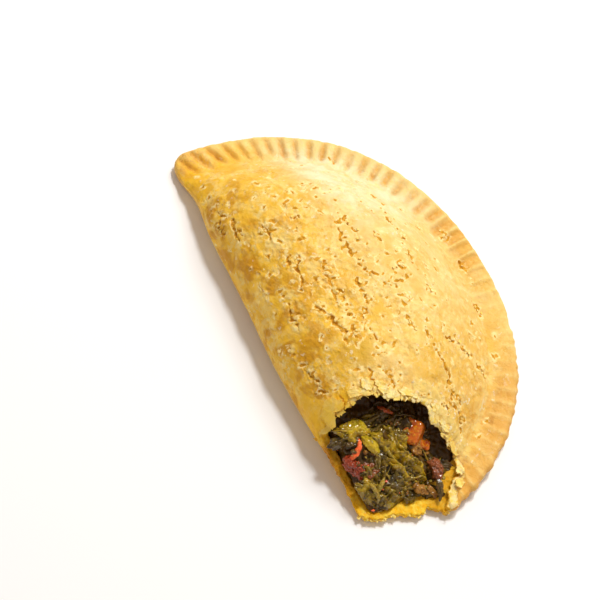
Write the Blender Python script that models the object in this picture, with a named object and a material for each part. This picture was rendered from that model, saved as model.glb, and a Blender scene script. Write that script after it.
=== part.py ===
"""A baked half-moon patty, bitten at one end.

A round of pastry is folded over a vegetable filling and crimped along its curved rim.
X runs along the folded edge towards the bitten end, Y from the fold to the rim, Z up.
The patty lies flat, and its origin is the bottom centre of its bounding box.
The drafting frame below has its own zero at the middle of the folded edge.
"""

import math
import random

import bmesh
import bpy
import numpy as np
from mathutils import Euler, Matrix, Vector, noise

MM = 0.001

# The whole patty, before the bite
FOLD_LENGTH = 150 * MM
DEPTH = 80 * MM
HEIGHT = 27 * MM
OUTLINE_POWER_X = 2.13  # 2 is an ellipse, more is squarer
OUTLINE_POWER_Y = 2.48
TIP_SHARPNESS = 14  # how tightly the rim turns into the fold
FOLD_BELLY = 1.6 * MM  # the fold bulges out past its middle
FOLD_BELLY_AT = 14 * MM
FOLD_BELLY_WIDTH = 26 * MM
FOLD_WAIST = 2.0 * MM  # and pulls in near the whole tip
FOLD_WAIST_AT = -57 * MM
FOLD_WAIST_WIDTH = 11 * MM

# The pastry
FLANGE = 10.5 * MM
FLANGE_THICK = 4.6 * MM
RIM_LIFT = 0.9 * MM  # the rim curls up off the table
DOME_START = 0.9 * FLANGE  # the dome starts to rise this far in from the rim
DOME_RISE = 33 * MM  # flange to crown, across
END_DROP = 0.13  # the crown arches down towards the tips by this share
FOLD_ROUND = 27 * MM  # crown to folded edge, across
FLAT_ROUND = 3 * MM  # the same where the dough is flat
UNDER_ROUND = 8 * MM
UNDER_FLAT_ROUND = 2.5 * MM
FOLD_MIDDLE = 6.5 * MM  # height of the folded edge's outermost line
TIP_FLATNESS = 28 * MM  # the folded edge sinks over this far towards a tip
FOLD_MARGIN = 6 * MM  # the rim's curl and crimps fade out this close to the folded edge
WALL = 2.6 * MM
FLOOR = 2.4 * MM
LEAST_HOLLOW = 0.3 * MM
SEAM_DEPTH = 0.8 * MM
SEAM_MARGIN = 4 * MM  # the seam between the two layers fades out this far in from the rim
UNEVEN = 0.5 * MM
UNEVEN_SIZE = 15 * MM

# The crimped rim
CRIMP_COUNT = 47
CRIMP_DEPTH = 1.3 * MM
CRIMP_RIDGE = 0.95 * MM  # half the width of a ridge
CRIMP_BULGE = 0.55 * MM  # the pressed dough spreads outwards
CRIMP_LENGTH = 10 * MM
CRIMP_WANDER = 0.9 * MM  # the ridges aren't quite even
WANDER_SIZE = 16 * MM

# The bite, seen from above: the roof breaks off further back than the floor does
ROOF_EDGE = [(33, -9), (36.6, -1), (37.4, 2), (35.2, 4.5), (35.4, 9), (34.6, 14), (37, 17.2), (39.6, 20.5),
             (41.2, 25), (44.6, 30), (47.6, 30.6), (50.5, 32.4), (54.5, 34), (59, 35.3), (62.4, 34.6),
             (64.4, 32.2), (67.6, 28.4), (72.4, 25.8), (80, 25)]
FLOOR_EDGE = [(58.5, -9), (59.8, -1), (61.8, 1), (64.4, 3.4), (66, 7.2), (66.4, 11.5), (68.3, 15.2),
              (69.8, 18.6), (67.6, 21), (69.6, 22.4), (72, 24.8), (80, 25)]
BITE_REACH = 95  # the cutters' far side
ROOF_CUT_BACK = 10.5 * MM  # height of the broken wall where the bite begins
ROOF_CUT_FRONT = 2.9 * MM  # and where it ends
ROOF_CUT_BENDS = (36 * MM, 60 * MM)  # X of both
CRUMBLE = 0.55 * MM

# The filling
GAP = 0.35 * MM
SLOPE_BACK = 13.5 * MM  # height of the filling under the broken roof
SLOPE_FRONT = 4.2 * MM
SLOPE_STARTS = 42 * MM
SLOPE_ENDS = 66 * MM
CAVITY_STARTS = 36 * MM
CAVITY_DEPTH = 20 * MM  # the steam gap runs this far in under the roof
POCKET_PLACE = (54 * MM, 31 * MM)  # a hollow under the roof where the filling has sunk
POCKET_WIDTH = 6 * MM
POCKET_DEPTH = 4.5 * MM
LUMP = 0.9 * MM
LUMP_SIZE = 4.5 * MM
SETBACK = 1.4 * MM  # the filling stops this far behind the floor's broken edge
LEAF_THICK = 1.1 * MM

# The rings of the pastry's mesh, from the middle of the roof to the middle of the underside
RAYS = 560
DOME_EDGE = 12.5 * MM
DOME_SHARES = (0.06, 0.15, 0.25, 0.36, 0.47, 0.58, 0.68, 0.78, 0.87, 0.94, 1.0)
FLANGE_INSETS = (11.2, 10, 9, 7.8, 6.2, 4.4, 2.6, 1.2)
EDGE_RINGS = ((0.35, 0.72), (0, 0.4), (SEAM_DEPTH / MM, 0), (0.1, -0.42), (0.4, -0.75))  # inset, height share
UNDER_INSETS = (0.9, 2.2, 4.5, 8, 13)
UNDER_SHARES = (0.6, 0.3)

# and of the hollow's and the filling's
LENS_RAYS = 76
LENS_TOP_SHARES = (0.12, 0.24, 0.36, 0.47, 0.57, 0.66, 0.74, 0.81, 0.87, 0.92, 0.96, 0.99, 1.0)
LENS_FLOOR_SHARES = (0.985, 0.93, 0.8, 0.55, 0.25)

OUTER_TRIANGLES = 6600
NOISE_SEED = Vector((7.3, 2.9, 5.1))


def ease(value):
    """0 to 1 with a soft start and end."""
    clipped = np.clip(value, 0, 1)
    return clipped * clipped * (3 - 2 * clipped)


def rounded(value):
    """A quarter circle: vertical at 0, level at 1."""
    return np.sqrt(1 - (1 - np.clip(value, 0, 1)) ** 2)


def uneven(x, y, scale, layer=0.0):
    """Soft noise from -1 to 1, the same each run."""
    points = zip(np.ravel(x) / scale, np.ravel(y) / scale)
    values = [noise.noise(Vector((px, py, layer)) + NOISE_SEED) for px, py in points]
    return np.array(values).reshape(np.shape(x)) * 1.6


# ---- the outline, seen from above ----

def arc_line(count):
    """The curved rim from the whole tip to the other one."""
    turn = np.linspace(0, math.pi, count)
    across = np.cos(turn)
    x = -FOLD_LENGTH / 2 * np.sign(across) * np.abs(across) ** (2 / OUTLINE_POWER_X)
    y = DEPTH * np.abs(np.sin(turn)) ** (2 / OUTLINE_POWER_Y)
    return np.stack([x, y], axis=-1)


ARC = arc_line(361)
ARC_LENGTHS = np.concatenate([[0], np.cumsum(np.linalg.norm(np.diff(ARC, axis=0), axis=1))])
ARC_TOTAL = ARC_LENGTHS[-1]
HEART = Vector((0, 33 * MM))  # the rays of every mesh start above this point


def to_rim(x, y):
    """Distance in from the curved rim, and the place along it, for arrays of points."""
    points = np.stack([np.ravel(x), np.ravel(y)], axis=-1)
    starts = ARC[:-1]
    steps = np.diff(ARC, axis=0)
    squares = (steps ** 2).sum(-1)
    inward = np.empty(len(points))
    along = np.empty(len(points))
    for first in range(0, len(points), 2000):
        some = slice(first, first + 2000)
        away = points[some, None] - starts
        share = np.clip((away * steps).sum(-1) / squares, 0, 1)
        gaps = np.linalg.norm(away - share[..., None] * steps, axis=-1)
        nearest = gaps.argmin(axis=1)
        row = np.arange(len(nearest))
        inward[some] = gaps[row, nearest]
        along[some] = ARC_LENGTHS[nearest] + share[row, nearest] * np.sqrt(squares[nearest])
    return inward.reshape(np.shape(x)), along.reshape(np.shape(x))


def fold_line(x):
    """Y of the folded edge."""
    waist = FOLD_WAIST * np.exp(-((x - FOLD_WAIST_AT) / FOLD_WAIST_WIDTH) ** 2)
    belly = FOLD_BELLY * np.exp(-((x - FOLD_BELLY_AT) / FOLD_BELLY_WIDTH) ** 2)
    return waist - belly


def outline_radius(angles):
    """Distance from the heart point to the outline, with the two tips rounded."""
    across = np.cos(angles)
    up = np.sin(angles)
    low = np.zeros_like(angles)
    high = np.full_like(angles, FOLD_LENGTH)
    for _ in range(40):
        middle = (low + high) / 2
        x = middle * across / (FOLD_LENGTH / 2)
        y = np.clip(HEART.y + middle * up, 0, None) / DEPTH
        inside = np.abs(x) ** OUTLINE_POWER_X + y ** OUTLINE_POWER_Y < 1
        low = np.where(inside, middle, low)
        high = np.where(inside, high, middle)
    down = np.maximum(-up, 1e-6)
    to_fold = HEART.y / down
    for _ in range(8):
        to_fold = (HEART.y - fold_line(to_fold * across)) / down
        to_fold = np.clip(to_fold, 0, 10)
    return (low ** -TIP_SHARPNESS + to_fold ** -TIP_SHARPNESS) ** (-1 / TIP_SHARPNESS)


def even_angles(count):
    """Angles whose rays meet the outline at even steps along it."""
    fine = np.linspace(0, 2 * math.pi, 4001)
    reach = outline_radius(fine)
    line = np.stack([reach * np.cos(fine), reach * np.sin(fine)], axis=-1)
    lengths = np.concatenate([[0], np.cumsum(np.linalg.norm(np.diff(line, axis=0), axis=1))])
    return np.interp(np.arange(count) / count * lengths[-1], lengths, fine)


# ---- the pastry's surfaces ----

def dome(inward):
    """0 on the flange to 1 at the crown."""
    share = np.clip((inward - DOME_START) / DOME_RISE, 0, 1)
    return 1 - (1 - share ** 1.15) ** 2


def fold_round(inward, flat, full):
    """Width of the rounding along the folded edge: flat on the flange, full at the crown."""
    return flat + (full - flat) * dome(inward)


def arc_side(from_fold):
    """0 at the folded edge to 1 a little way off it."""
    return ease(from_fold / FOLD_MARGIN)


def full_height(x, inward):
    """Height of the roof, away from the folded edge."""
    arch = 1 - END_DROP * (x / (FOLD_LENGTH / 2)) ** 2
    return FLANGE_THICK + (HEIGHT - FLANGE_THICK) * dome(inward) * arch


def fold_height(x):
    """Height of the folded edge's outermost line: low at the tips, where the dough is flat."""
    flat = FLANGE_THICK / 2
    return flat + (FOLD_MIDDLE - flat) * ease((FOLD_LENGTH / 2 - np.abs(x)) / TIP_FLATNESS)


def crimp_strength(share):
    """Crimps are deep round the whole tip's side, faint past the middle and soft at the far end."""
    faded = 1 - 0.6 * ease((share - 0.5) / 0.14)
    return faded + 0.25 * ease((share - 0.8) / 0.1)


def crimp_dip(inward, along):
    """How far the rim is pressed down, from 0 on a ridge to CRIMP_DEPTH in a hollow."""
    share = along / ARC_TOTAL
    lean = 0.6 * (1 - ease(share / 0.22)) - 0.7 * ease((share - 0.72) / 0.2)
    wander = CRIMP_WANDER * uneven(along, along * 0, WANDER_SIZE, 3.0)
    turns = (along + lean * inward + wander) / ARC_TOTAL * CRIMP_COUNT
    to_ridge = np.abs(turns - np.round(turns)) * ARC_TOTAL / CRIMP_COUNT
    hollow = 1 - np.exp(-(to_ridge / CRIMP_RIDGE) ** 2)
    reach = CRIMP_LENGTH * (1 + 0.12 * uneven(along, along * 0, 5 * MM, 8.0))
    window = 1 - ease((inward - 0.72 * reach) / (0.4 * reach))
    return CRIMP_DEPTH * hollow * window * crimp_strength(share)


def top_height(x, y):
    inward, along = to_rim(x, y)
    middle = fold_height(x)
    from_fold = y - fold_line(x)
    risen = rounded(from_fold / fold_round(inward, FLAT_ROUND, FOLD_ROUND))
    height = middle + (full_height(x, inward) - middle) * risen
    height += RIM_LIFT * (1 - ease(inward / FLANGE)) * arc_side(from_fold)
    height += UNEVEN * dome(inward) * uneven(x, y, UNEVEN_SIZE) * risen
    return height - crimp_dip(inward, along) * arc_side(from_fold)


def under_height(x, y):
    inward, _ = to_rim(x, y)
    from_fold = y - fold_line(x)
    risen = rounded(from_fold / fold_round(inward, UNDER_FLAT_ROUND, UNDER_ROUND))
    lift = RIM_LIFT * (1 - ease(inward / FLANGE)) * arc_side(from_fold)
    return fold_height(x) * (1 - risen) + lift


def inner_radius(angles, rim_inset, fold_inset):
    """Distance from the heart point to the wall of the hollow, with rounded tips."""
    low = np.zeros_like(angles)
    high = outline_radius(angles)
    for _ in range(22):
        middle = (low + high) / 2
        x = middle * np.cos(angles)
        y = HEART.y + middle * np.sin(angles)
        inward, _ = to_rim(x, y)
        from_fold = np.maximum(y - fold_line(x), 1e-6)
        inside = (rim_inset / np.maximum(inward, 1e-6)) ** 4 + (fold_inset / from_fold) ** 4 < 1
        low = np.where(inside, middle, low)
        high = np.where(inside, high, middle)
    return low


def ceiling_height(x, y, gap):
    """The roof's underside, lowered by a gap."""
    inward, _ = to_rim(x, y)
    full = full_height(x, inward) - WALL - gap
    middle = fold_height(x)
    from_fold = y - fold_line(x) - WALL - gap
    risen = rounded(from_fold / fold_round(inward, FLAT_ROUND, FOLD_ROUND))
    return np.maximum(middle + (full - middle) * risen, FLOOR + gap + LEAST_HOLLOW)


def floor_height(x, y, gap):
    """The floor's upper side, raised by a gap and rounded up towards the fold."""
    inward, _ = to_rim(x, y)
    width = 2 * MM + (UNDER_ROUND - 3 * MM) * dome(inward)
    from_fold = y - fold_line(x) - WALL - gap
    base = FLOOR + gap
    rise = np.maximum(fold_height(x) - base, 0)
    return base + rise * (1 - rounded(from_fold / width))


def slope_height(x, y):
    """The filling's bared surface: a gap under the roof, then a slope down to the floor's edge."""
    front = ease((SLOPE_ENDS - x) / (SLOPE_ENDS - SLOPE_STARTS))
    height = SLOPE_FRONT + (SLOPE_BACK - SLOPE_FRONT) * front
    behind = ease((CAVITY_STARTS - x) / CAVITY_DEPTH)
    height = height + (HEIGHT - SLOPE_BACK) * behind
    aside = (x - POCKET_PLACE[0]) ** 2 + (y - POCKET_PLACE[1]) ** 2
    height = height - POCKET_DEPTH * np.exp(-aside / POCKET_WIDTH ** 2)
    return height + LUMP * uneven(x, y, LUMP_SIZE, 6.0) * (1 - behind)


# ---- making meshes ----

def object_of(name, vertices, faces):
    mesh = bpy.data.meshes.new(name)
    mesh.from_pydata([tuple(v) for v in vertices], [], faces)
    mesh.validate()
    obj = bpy.data.objects.new(name, mesh)
    bpy.context.scene.collection.objects.link(obj)
    return obj


def skin_of(rings, first_pole, last_pole):
    """Vertices and faces of a closed skin: a pole, rings of equal length, and a pole."""
    count = len(rings[0])
    vertices = [first_pole]
    for ring in rings:
        vertices.extend(ring)
    vertices.append(last_pole)
    end = len(vertices) - 1
    faces = []
    for i in range(count):
        after = (i + 1) % count
        faces.append((0, 1 + i, 1 + after))
        for row in range(len(rings) - 1):
            here = 1 + row * count
            below = here + count
            faces.append((here + i, below + i, below + after, here + after))
        last = end - count
        faces.append((last + i, end, last + after))
    return vertices, faces


def ray_points(angles, radius):
    return radius * np.cos(angles), HEART.y + radius * np.sin(angles)


def height_ring(angles, radius, height_at):
    x, y = ray_points(angles, radius)
    return np.stack([x, y, height_at(x, y)], axis=-1)


def pole(height_at):
    x = np.zeros(1)
    y = np.full(1, HEART.y)
    return (0, HEART.y, float(height_at(x, y)[0]))


def build_outer():
    """The pastry's outside: roof, crimped rim with its seam, folded edge and underside."""
    angles = even_angles(RAYS)
    reach = outline_radius(angles)
    x, y = ray_points(angles, reach)
    inward, along = to_rim(x, y)
    on_rim = (1 - ease(inward / SEAM_MARGIN)) * arc_side(y - fold_line(x))
    pressed = crimp_dip(inward * 0, along) / CRIMP_DEPTH
    reach = reach + CRIMP_BULGE * pressed * on_rim
    rings = []
    for share in DOME_SHARES:
        rings.append(height_ring(angles, (reach - DOME_EDGE) * share, top_height))
    for inset in FLANGE_INSETS:
        rings.append(height_ring(angles, reach - inset * MM, top_height))
    top = rings[-1][:, 2]
    under_x, under_y = ray_points(angles, reach - UNDER_INSETS[0] * MM)
    under = under_height(under_x, under_y)
    middle_x, _ = ray_points(angles, reach)
    seam = fold_height(middle_x) * (1 - on_rim) + (top + under) / 2 * on_rim
    for inset, share in EDGE_RINGS:
        at_seam = share == 0
        x, y = ray_points(angles, reach - inset * MM * (on_rim if at_seam else 1))
        edge = top if share > 0 else under
        rings.append(np.stack([x, y, seam + (edge - seam) * abs(share)], axis=-1))
    for inset in UNDER_INSETS:
        rings.append(height_ring(angles, reach - inset * MM, under_height))
    for share in UNDER_SHARES:
        rings.append(height_ring(angles, (reach - UNDER_INSETS[-1] * MM) * share, under_height))
    vertices, faces = skin_of(rings, pole(top_height), pole(under_height))
    return object_of("crust", vertices, faces)


def lens(name, gap, top_at):
    """A closed solid between the floor and a top surface, inside the wall by a gap."""
    def floor_at(x, y):
        return floor_height(x, y, gap)

    angles = even_angles(LENS_RAYS)
    reach = inner_radius(angles, FLANGE + LEAST_HOLLOW + gap, WALL + gap)
    rings = []
    for share in LENS_TOP_SHARES:
        rings.append(height_ring(angles, reach * share, top_at))
    for share in LENS_FLOOR_SHARES:
        rings.append(height_ring(angles, reach * share, floor_at))
    vertices, faces = skin_of(rings, pole(top_at), pole(floor_at))
    return object_of(name, vertices, faces)


def build_hollow():
    return lens("hollow", 0.0, lambda x, y: ceiling_height(x, y, 0.0))


def build_core():
    def top_at(x, y):
        least = FLOOR + GAP + 2 * LEAST_HOLLOW
        return np.minimum(ceiling_height(x, y, GAP), np.maximum(slope_height(x, y), least))

    return lens("filling", GAP, top_at)


def broken_line(corners, spacing, crumble, seed):
    """A smooth curve through the corners, in metres, roughened like a torn edge."""
    points = np.array(corners, float) * MM
    padded = np.concatenate([[2 * points[0] - points[1]], points, [2 * points[-1] - points[-2]]])
    draw = random.Random(seed)
    line = []
    for i in range(1, len(padded) - 2):
        before, start, stop, after = padded[i - 1:i + 3]
        steps = max(1, round(np.linalg.norm(stop - start) / spacing))
        for step in range(steps):
            t = step / steps
            line.append(0.5 * (2 * start + (stop - before) * t
                               + (2 * before - 5 * start + 4 * stop - after) * t ** 2
                               + (3 * start - before - 3 * stop + after) * t ** 3))
    line.append(points[-1])
    line = np.array(line)
    sides = np.gradient(line, axis=0)
    sides = sides[:, ::-1] * (1, -1) / np.linalg.norm(sides, axis=1)[:, None]
    shifts = np.array([draw.uniform(-1, 1) for _ in line])
    return line + sides * shifts[:, None] * crumble


def bite_cutter(name, line, low_at, high, bends=()):
    """A prism over everything on the bitten side of a line. Its base bends at each X in bends."""
    far = BITE_REACH * MM
    outline = list(line) + [(far, line[-1][1]), (far, -15 * MM), (line[0][0], -15 * MM)]
    mesh = bmesh.new()
    mesh.faces.new([mesh.verts.new((x, y, 0)) for x, y in outline])
    for bend in bends:
        everything = list(mesh.verts) + list(mesh.edges) + list(mesh.faces)
        bmesh.ops.bisect_plane(mesh, geom=everything, plane_co=(bend, 0, 0), plane_no=(1, 0, 0))
    base = list(mesh.verts)
    bmesh.ops.extrude_face_region(mesh, geom=list(mesh.faces))
    for vertex in mesh.verts:
        vertex.co.z = high
    for vertex in base:
        vertex.co.z = low_at(vertex.co.x)
    bmesh.ops.recalc_face_normals(mesh, faces=mesh.faces)
    bmesh.ops.triangulate(mesh, faces=mesh.faces)
    data = bpy.data.meshes.new(name)
    mesh.to_mesh(data)
    mesh.free()
    cutter = bpy.data.objects.new(name, data)
    bpy.context.scene.collection.objects.link(cutter)
    return cutter


def build_roof_cutter():
    """Its base leaves the broken wall of the fold standing, lower and lower towards the tip."""
    def low_at(x):
        share = (x - ROOF_CUT_BENDS[0]) / (ROOF_CUT_BENDS[1] - ROOF_CUT_BENDS[0])
        return ROOF_CUT_BACK + (ROOF_CUT_FRONT - ROOF_CUT_BACK) * min(max(share, 0), 1)

    line = broken_line(ROOF_EDGE, 1.5 * MM, CRUMBLE, 11)
    return bite_cutter("roof_bite", line, low_at, HEIGHT + 10 * MM, ROOF_CUT_BENDS)


def build_floor_cutter(name, setback, crumble):
    line = broken_line(FLOOR_EDGE, 1.5 * MM, crumble, 23)
    return bite_cutter(name, line - (setback, 0), lambda x: -5 * MM, HEIGHT + 12 * MM)


# ---- the pieces that show in the bite ----

def placed(mesh, place, turn):
    """Turns a piece about its middle, in degrees, and moves it, in millimetres."""
    rotation = Euler([math.radians(angle) for angle in turn]).to_matrix().to_4x4()
    shift = Matrix.Translation(Vector(place) * MM)
    bmesh.ops.transform(mesh, matrix=shift @ rotation, verts=mesh.verts)
    bmesh.ops.recalc_face_normals(mesh, faces=mesh.faces)


def finish_piece(name, mesh, collection):
    data = bpy.data.meshes.new(name)
    mesh.to_mesh(data)
    mesh.free()
    piece = bpy.data.objects.new(name, data)
    collection.objects.link(piece)


def add_dice(name, size, place, turn, collection):
    """A chopped chunk: a block with softened edges and a little taper."""
    mesh = bmesh.new()
    bmesh.ops.create_cube(mesh, size=1)
    for vertex in mesh.verts:
        taper = 1 - 0.12 * (vertex.co.z > 0)
        vertex.co = Vector([vertex.co[i] * size[i] * MM * (taper if i < 2 else 1) for i in range(3)])
    bmesh.ops.bevel(mesh, geom=mesh.edges, offset=0.16 * min(size) * MM, segments=2,
                     profile=0.5, affect="EDGES")
    placed(mesh, place, turn)
    finish_piece(name, mesh, collection)


def add_strip(name, size, bend, place, turn, collection):
    """A cut strip or stalk: a few sections along a bow."""
    length, width, thick = [value * MM for value in size]
    sections = 6
    sides = 6
    rings = []
    for i in range(sections + 1):
        share = i / sections * 2 - 1
        narrow = 1 - 0.45 * abs(share) ** 3
        ring = []
        for k in range(sides):
            angle = 2 * math.pi * k / sides
            y = math.cos(angle) * width / 2 * narrow
            z = math.sin(angle) * thick / 2 * narrow + bend * MM * (1 - share ** 2)
            ring.append((share * length / 2, y, z))
        rings.append(ring)
    ends = [(side * length / 2, 0, 0) for side in (-1.08, 1.08)]
    vertices, faces = skin_of(rings, *ends)
    mesh = bmesh.new()
    made = [mesh.verts.new(v) for v in vertices]
    for face in faces:
        mesh.faces.new([made[i] for i in face])
    placed(mesh, place, turn)
    finish_piece(name, mesh, collection)


def add_leaf(name, size, waves, place, turn, collection):
    """A wilted leaf: a thin wavy solid, both faces split into triangles alike."""
    length, width = size[0] * MM, size[1] * MM
    rows, columns = 7, 4
    mesh = bmesh.new()
    layers = []
    for side in (1, -1):
        grid = []
        for i in range(rows + 1):
            u = i / rows * 2 - 1
            half = width / 2 * (1 - 0.75 * abs(u) ** 2.2)
            for k in range(columns + 1):
                v = k / columns * 2 - 1
                rise = math.sin(waves[0] * u + 1.3 * v) * 1.1 + math.cos(waves[1] * v - u) * 0.9
                height = rise * MM + side * LEAF_THICK / 2
                grid.append(mesh.verts.new((u * length / 2, v * half, height)))
        layers.append(grid)
    step = columns + 1
    for i in range(rows):
        for k in range(columns):
            a = i * step + k
            for corners in ((a, a + step, a + step + 1), (a, a + step + 1, a + 1)):
                mesh.faces.new([layers[0][c] for c in corners])
                mesh.faces.new([layers[1][c] for c in reversed(corners)])
    rim = list(range(columns)) + [columns + step * i for i in range(rows)]
    rim += [rows * step + columns - k for k in range(columns)] + [step * (rows - i) for i in range(rows)]
    for a, b in zip(rim, rim[1:] + rim[:1]):
        mesh.faces.new([layers[0][a], layers[0][b], layers[1][b], layers[1][a]])
    bmesh.ops.triangulate(mesh, faces=[face for face in mesh.faces if len(face.verts) > 3])
    placed(mesh, place, turn)
    finish_piece(name, mesh, collection)


def build_bared_pieces():
    """The chopped vegetables and wilted leaves that the bite lays bare, by eye from the food."""
    collection = bpy.data.collections.new("bared_pieces")
    bpy.context.scene.collection.children.link(collection)
    add_dice("carrot", (9, 8, 8), (46.5, 25, 10.5), (18, -14, 35), collection)
    add_dice("carrot_chip", (6, 4, 4), (51, 28, 8.5), (10, 30, 60), collection)
    add_dice("onion", (6, 5, 5), (50.5, 23.5, 8.8), (30, 12, 20), collection)
    add_dice("tomato", (8, 6, 5.5), (49, 7.6, 8), (-14, 16, 28), collection)
    add_dice("mushroom", (7, 6, 5), (59.4, 25.4, 6.8), (12, 8, -25), collection)
    add_dice("onion_low", (6, 5, 4), (61.6, 19.4, 6), (0, 10, 40), collection)
    add_dice("onion_tip", (5, 4, 3), (64.6, 23.6, 5.4), (0, 6, -30), collection)
    add_strip("pepper", (9, 3.4, 2.8), 1, (45.4, 8.4, 11.6), (10, -20, 62), collection)
    add_strip("stalk", (12, 4.2, 3.8), 1.2, (45.4, 13.2, 11.8), (0, 20, -28), collection)
    add_strip("stalk_short", (9, 5, 4.2), 1.4, (41.4, 11.6, 12.8), (0, 8, 62), collection)
    add_leaf("leaf_back", (16, 9), (4.2, 3.0), (42, 17.5, 12.8), (6, 12, 84), collection)
    add_leaf("leaf_left", (11, 6), (3.6, 3.4), (44.6, 6.6, 10.4), (-24, 22, 20), collection)
    add_leaf("leaf_crumpled", (14, 11), (5.2, 4.6), (53.6, 18.6, 9.4), (10, 26, 30), collection)
    add_leaf("leaf_middle", (15, 11), (4.6, 3.8), (51.2, 12.4, 9.8), (-6, 24, -20), collection)
    add_leaf("leaf_low", (14, 8), (4.8, 4.2), (59, 14.6, 7.2), (4, 12, 74), collection)
    add_leaf("leaf_front", (12, 8), (4.4, 4.4), (56, 9, 7.6), (-4, 16, 24), collection)
    add_leaf("leaf_lip", (10, 6), (4.0, 4.0), (60.4, 10.8, 6.2), (0, 8, 96), collection)
    return collection


# ---- joining, finish and placing ----

def add_boolean(obj, operation, other=None, collection=None, solver="EXACT"):
    modifier = obj.modifiers.new(operation.lower(), "BOOLEAN")
    modifier.operation = operation
    modifier.solver = solver
    if collection:
        modifier.operand_type = "COLLECTION"
        modifier.collection = collection
    else:
        modifier.object = other


def apply_modifiers(obj):
    """Keeps what the modifiers make as the object's own mesh."""
    bpy.context.view_layer.update()
    evaluated = obj.evaluated_get(bpy.context.evaluated_depsgraph_get())
    mesh = bpy.data.meshes.new_from_object(evaluated)
    obj.modifiers.clear()
    obj.data = mesh


def keep_body(obj):
    """Drops every island of the mesh but the largest: loose scraps, and the skins of sealed hollows."""
    mesh = bmesh.new()
    mesh.from_mesh(obj.data)
    islands = []
    unseen = set(mesh.verts)
    while unseen:
        island = {unseen.pop()}
        edge = list(island)
        while edge:
            vertex = edge.pop()
            near = {link.other_vert(vertex) for link in vertex.link_edges} & unseen
            unseen -= near
            island |= near
            edge.extend(near)
        islands.append(island)
    largest = max(islands, key=len)
    spare = [vertex for vertex in mesh.verts if vertex not in largest]
    bmesh.ops.delete(mesh, geom=spare, context="VERTS")
    mesh.to_mesh(obj.data)
    mesh.free()


def thin_out(obj, triangles):
    modifier = obj.modifiers.new("thin_out", "DECIMATE")
    modifier.ratio = triangles / sum(len(face.vertices) - 2 for face in obj.data.polygons)


def as_helper(cutter):
    cutter.hide_render = True
    cutter.display_type = "WIRE"


def paint(obj, name, colour, roughness):
    material = bpy.data.materials.new(name)
    material.use_nodes = True
    shader = material.node_tree.nodes["Principled BSDF"]
    shader.inputs["Base Color"].default_value = (*colour, 1)
    shader.inputs["Roughness"].default_value = roughness
    shader.inputs["Metallic"].default_value = 0
    obj.data.materials.clear()
    obj.data.materials.append(material)


def build_crust(cutters):
    crust = build_outer()
    thin_out(crust, OUTER_TRIANGLES)
    for cutter in cutters:
        add_boolean(crust, "DIFFERENCE", cutter)
    apply_modifiers(crust)
    keep_body(crust)
    crust.data.shade_smooth()
    crust.data.set_sharp_from_angle(angle=math.radians(35))
    paint(crust, "baked_pastry", (0.80, 0.52, 0.16), 0.6)
    return crust


def build_filling(trimmer):
    filling = build_core()
    add_boolean(filling, "DIFFERENCE", trimmer)
    apply_modifiers(filling)
    pieces = build_bared_pieces()
    add_boolean(filling, "UNION", collection=pieces, solver="MANIFOLD")
    apply_modifiers(filling)
    for piece in list(pieces.objects):
        bpy.data.objects.remove(piece)
    bpy.data.collections.remove(pieces)
    keep_body(filling)
    filling.data.shade_smooth()
    filling.data.set_sharp_from_angle(angle=math.radians(35))
    paint(filling, "cooked_vegetables", (0.10, 0.10, 0.02), 0.35)
    return filling


def centre(parts, crust):
    """Hangs every part on one empty, so that the origin is the crust's bottom centre."""
    corners = np.array([vertex.co for vertex in crust.data.vertices])
    low = corners.min(axis=0)
    high = corners.max(axis=0)
    patty = bpy.data.objects.new("patty", None)
    bpy.context.scene.collection.objects.link(patty)
    patty.location = (-(low[0] + high[0]) / 2, -(low[1] + high[1]) / 2, -low[2])
    for part in parts:
        part.parent = patty


def main():
    for obj in list(bpy.data.objects):
        bpy.data.objects.remove(obj)
    cutters = [build_hollow(), build_roof_cutter(), build_floor_cutter("floor_bite", 0, CRUMBLE)]
    trimmer = build_floor_cutter("filling_bite", SETBACK, 0)
    crust = build_crust(cutters)
    filling = build_filling(trimmer)
    for cutter in cutters + [trimmer]:
        as_helper(cutter)
    centre([crust, filling, trimmer] + cutters, crust)


main()
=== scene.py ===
import itertools
import math
import random

import bpy
import numpy as np
from mathutils import Euler, Matrix, Vector, kdtree, noise
from mathutils.bvhtree import BVHTree


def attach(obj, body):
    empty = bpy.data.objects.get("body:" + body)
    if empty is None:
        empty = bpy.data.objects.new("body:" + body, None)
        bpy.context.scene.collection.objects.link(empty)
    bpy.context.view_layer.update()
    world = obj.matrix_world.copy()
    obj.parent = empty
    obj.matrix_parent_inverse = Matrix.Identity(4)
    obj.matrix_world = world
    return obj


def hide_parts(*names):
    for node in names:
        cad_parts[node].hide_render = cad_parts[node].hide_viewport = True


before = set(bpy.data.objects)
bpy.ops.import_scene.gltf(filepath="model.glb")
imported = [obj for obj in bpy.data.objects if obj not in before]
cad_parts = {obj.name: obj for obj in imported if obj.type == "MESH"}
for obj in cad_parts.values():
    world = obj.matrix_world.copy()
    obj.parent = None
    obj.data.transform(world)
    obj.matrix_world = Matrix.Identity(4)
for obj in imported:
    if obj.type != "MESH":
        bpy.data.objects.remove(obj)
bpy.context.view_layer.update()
mm = 0.001

# Sizes are in millimetres, drawn from the middle of the folded edge:
# X runs along it to the bitten end, Y to the crimped rim, Z up.
toFrame = np.array([1.046, -39.46, 0])  # from there to the frame's own zero

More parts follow.
